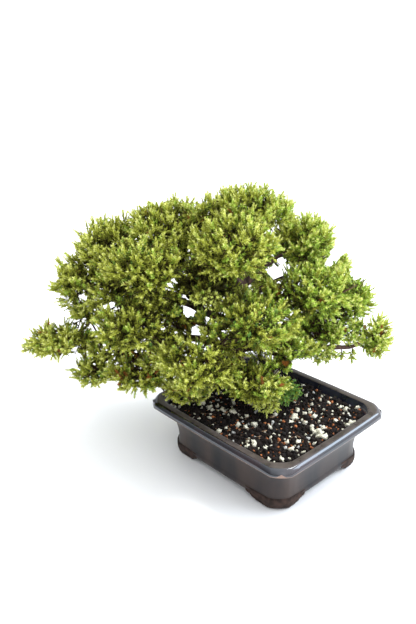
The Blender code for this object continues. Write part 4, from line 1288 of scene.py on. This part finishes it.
def build_foliage(spaces, limbs):
    growth, crown, shoots = grow_crown(spaces, limbs)
    base, direction, length, green = shoots[:, 0:3], shoots[:, 3:6], shoots[:, 6], shoots[:, 8]
    is_inner = shoots[:, 7] > 0.5
    rng = np.random.default_rng(SEED + 2)
    count = len(base)
    curl = SHOOT_BEND * rng.normal(size=(count, 3)) + SHOOT_RISE * UP
    curl -= direction * np.sum(curl * direction, axis=1, keepdims=True)
    scale = rng.uniform(0.85, 1.15, count) * np.where(is_inner, INNER_SCALE, 1.0)
    patch = np.array([noise.noise(Vector(point) * PATCH_FINENESS) for point in base])
    depth = crown.level(base + direction * length[:, None])
    open_painted_light = np.clip((depth - OPEN_FROM) / (1.0 - OPEN_FROM), 0.0, 1.0)
    spread = np.linalg.norm((base - CROWN_MIDDLE) / CROWN_HALF, axis=1)
    # Painted light and shade in the tone: paler where the crown is open, where shoots point up, on the
    # crown's outside, to its right and high up
    tone = TONE_START + TONE_PAINTED_OPEN * open_painted_light + TONE_PAINTED_SKYWARD * direction[:, 2]
    tone += TONE_CHANCE * rng.random(count) + TONE_PATCH * patch + TONE_PAINTED_OUTSIDE * (spread - OUT_FROM)
    tone += TONE_PAINTED_RIGHT * np.clip((base[:, 0] - 0.03) / 0.05, 0.0, 1.0)
    tone += TONE_PAINTED_HIGH * (base[:, 2] - HIGH_FROM)
    is_low = base[:, 2] < LOW_IN_CROWN
    dead = (rng.random(count) < np.where(is_low, *DEAD_SHARES)) & (depth < DEAD_DEPTH)
    bluish = (patch > BLUISH_PATCH) & (rng.random(count) < BLUISH_SHARE)
    blue = (green == BLUISH_GREEN) | (np.linalg.norm(base - BLUE_SPOT, axis=1) < BLUE_REACH)
    fresh = (rng.random(count) < FRESH_SHARE) | (green == FRESH_GREEN)
    points, faces, owner, t = needle_arrays(base, direction, length, curl, scale, is_inner, rng)
    level = tone[owner] + TONE_TIP * (t - 0.55) + rng.normal(size=len(owner)) * TONE_NEEDLE
    kind = np.digitize(level, TONE_CUTS)
    names = list(TONES)
    lush = rng.random(count) < np.clip(LUSH_SHARE[0] + LUSH_SHARE[1] * base[:, 0], *LUSH_LIMITS)
    is_lush = lush[owner] & (kind >= 1) & (kind <= 3)
    kind = np.where(is_lush, kind + names.index("lush_deep") - 1, kind)
    is_blue = (blue[owner] & (kind != 0)) | (bluish[owner] & (kind >= 1) & (kind <= 2))
    kind = np.where(is_blue, names.index("blue"), kind)
    kind = np.where(fresh[owner] & (kind != 0) & (kind != 1), names.index("fresh"), kind)
    is_dead = dead[owner] & ((t < 0.55) | is_low[owner])
    kind = np.where(is_dead, names.index("dead"), kind)
    cores, core_faces = core_arrays(base, direction, length, curl)
    # Each core takes its shoot's tone a step darker, with the painted light and shade that the tone holds
    core_kind = np.where(dead, names.index("dead"), np.clip(np.digitize(tone - 0.15, TONE_CUTS), 0, 2))
    for k, name in enumerate(names):
        add_needle_pieces(name, points[kind == k], faces, cores[core_kind == k], core_faces)
    build_twigs(np.array(growth.rods))


def build_twigs(rows):
    """The twigs, save the thin ones that would cross a gap of the crown."""
    starts, ends = rows[:, 0:3], rows[:, 3:6]
    hidden = [in_window(between((starts, ends), share), CLEAR_OF_WINDOW)
              for share in (0.0, 0.25, 0.5, 0.75, 1.0)]
    keep = ~np.any(hidden, axis=0) | (rows[:, 6] > THICK_WOOD)
    points, faces = rods(starts[keep], ends[keep], rows[keep, 6], rows[keep, 7], 3)
    twig_bark = new_material("twig_bark", (0.075, 0.040, 0.022), 0.85, specular=0.2)
    add_piece("twigs", triangle_mesh("twigs", to_row(points), faces), FOLIAGE_NODES, [twig_bark])


def build_tree():
    spaces = make_spaces()
    limbs = {"trunk": smooth_line(metres(TRUNK), LIMB_STEP / 2)}
    for name in BOUGHS:
        limbs[name] = bough_line(name, limbs, spaces)
    points = []
    triangles = []
    offset = 0
    for index, (name, line) in enumerate(limbs.items()):
        is_trunk = name == "trunk"
        sides, fibre = TRUNK_BARK if is_trunk else BOUGH_BARK
        tube, faces = bark_tube(line, sides, fibre, 5.7 * index, is_trunk)
        points.append(tube)
        triangles.append(faces + offset)
        offset += len(tube)
    mesh = triangle_mesh("wood", to_row(np.concatenate(points)), np.concatenate(triangles))
    mesh.shade_smooth()
    add_piece("wood", mesh, ["trunk", *BOUGH_NODES], [patterned("bark_rough")])
    build_foliage(spaces, limbs)


# Stage


# Where the soft light is brightest, over the pot's back right
BRIGHT_SKY = (0.36, 0.40, 0.84)
FLOOR_SIZE = 15.0
LAMP_DISTANCE = 1.2


def build_stage():
    shape = bmesh.new()
    bmesh.ops.create_grid(shape, x_segments=2, y_segments=2, size=FLOOR_SIZE)
    floor = add_object("floor", take_mesh("floor", shape))
    floor.data.materials.append(new_material("floor_white", (0.88, 0.885, 0.89), 0.9, specular=0.1))

    world = bpy.data.worlds.new("studio")
    bpy.context.scene.world = world
    world.use_nodes = True
    tree = world.node_tree
    tree.nodes.clear()
    output = add_node(tree, "OutputWorld")
    seen = add_node(tree, "Background", {"Color": (1.0, 1.0, 1.0, 1.0), "Strength": 1.15})
    lit = add_node(tree, "Background", {"Color": (0.95, 0.97, 1.0, 1.0)})
    place = add_node(tree, "TexCoord")
    toward = add_node(tree, "VectorMath")
    toward.operation = "DOT_PRODUCT"
    toward.inputs[1].default_value = BRIGHT_SKY
    limits = {"From Min": -0.25, "From Max": 0.90, "To Min": 0.40, "To Max": 2.40}
    rise = add_node(tree, "MapRange", limits)
    path = add_node(tree, "LightPath")
    mix = add_node(tree, "MixShader")
    link(place, "Generated", toward, 0)
    link(toward, "Value", rise, "Value")
    link(rise, "Result", lit, "Strength")
    link(path, "Is Camera Ray", mix, "Fac")
    link(lit, "Background", mix, 1)
    link(seen, "Background", mix, 2)
    link(mix, "Shader", output, "Surface")

    key = add_light("key", "SUN", 1.9, (1.0, 0.985, 0.95),
                    0.38 * CAMERA_RIGHT + 0.20 * CAMERA_AHEAD + Vector(UP))
    key.angle = math.radians(20.0)
    panel = add_light("panel", "AREA", 11.0, (0.78, 0.88, 1.0), Vector((0.50, 0.62, 0.50)))
    panel.shape = "RECTANGLE"
    panel.size = 1.0
    panel.size_y = 0.50


def add_light(name, kind, energy, colour, toward_light):
    """Put a light over the pot's side that a direction points to, facing the pot."""
    light = bpy.data.lights.new(name, kind)
    light.energy = energy
    light.color = colour
    lamp = add_object(name, light)
    toward_light = toward_light.normalized()
    lamp.location = Vector(POT_MIDDLE) + LAMP_DISTANCE * toward_light
    lamp.rotation_euler = toward_light.to_track_quat("Z", "Y").to_euler()
    return light


def build_camera():
    camera = bpy.data.cameras.new("camera")
    camera.sensor_fit = "VERTICAL"
    camera.sensor_height = SENSOR
    camera.lens = SENSOR * FOCAL_PIXELS / FRAME_HEIGHT
    camera.clip_start = 0.01
    camera.clip_end = 100.0
    item = add_object("camera", camera)
    pose = Matrix((CAMERA_RIGHT, CAMERA_UP, -CAMERA_AHEAD)).transposed().to_4x4()
    pose.translation = CAMERA_PLACE + Vector(POT_MIDDLE)
    item.matrix_world = pose
    bpy.context.scene.camera = item


bpy.context.scene.view_settings.view_transform = "Standard"
bpy.context.scene.view_settings.look = "None"
build_camera()
build_stage()
build_pot()
build_soil()
build_grains()
build_tree()
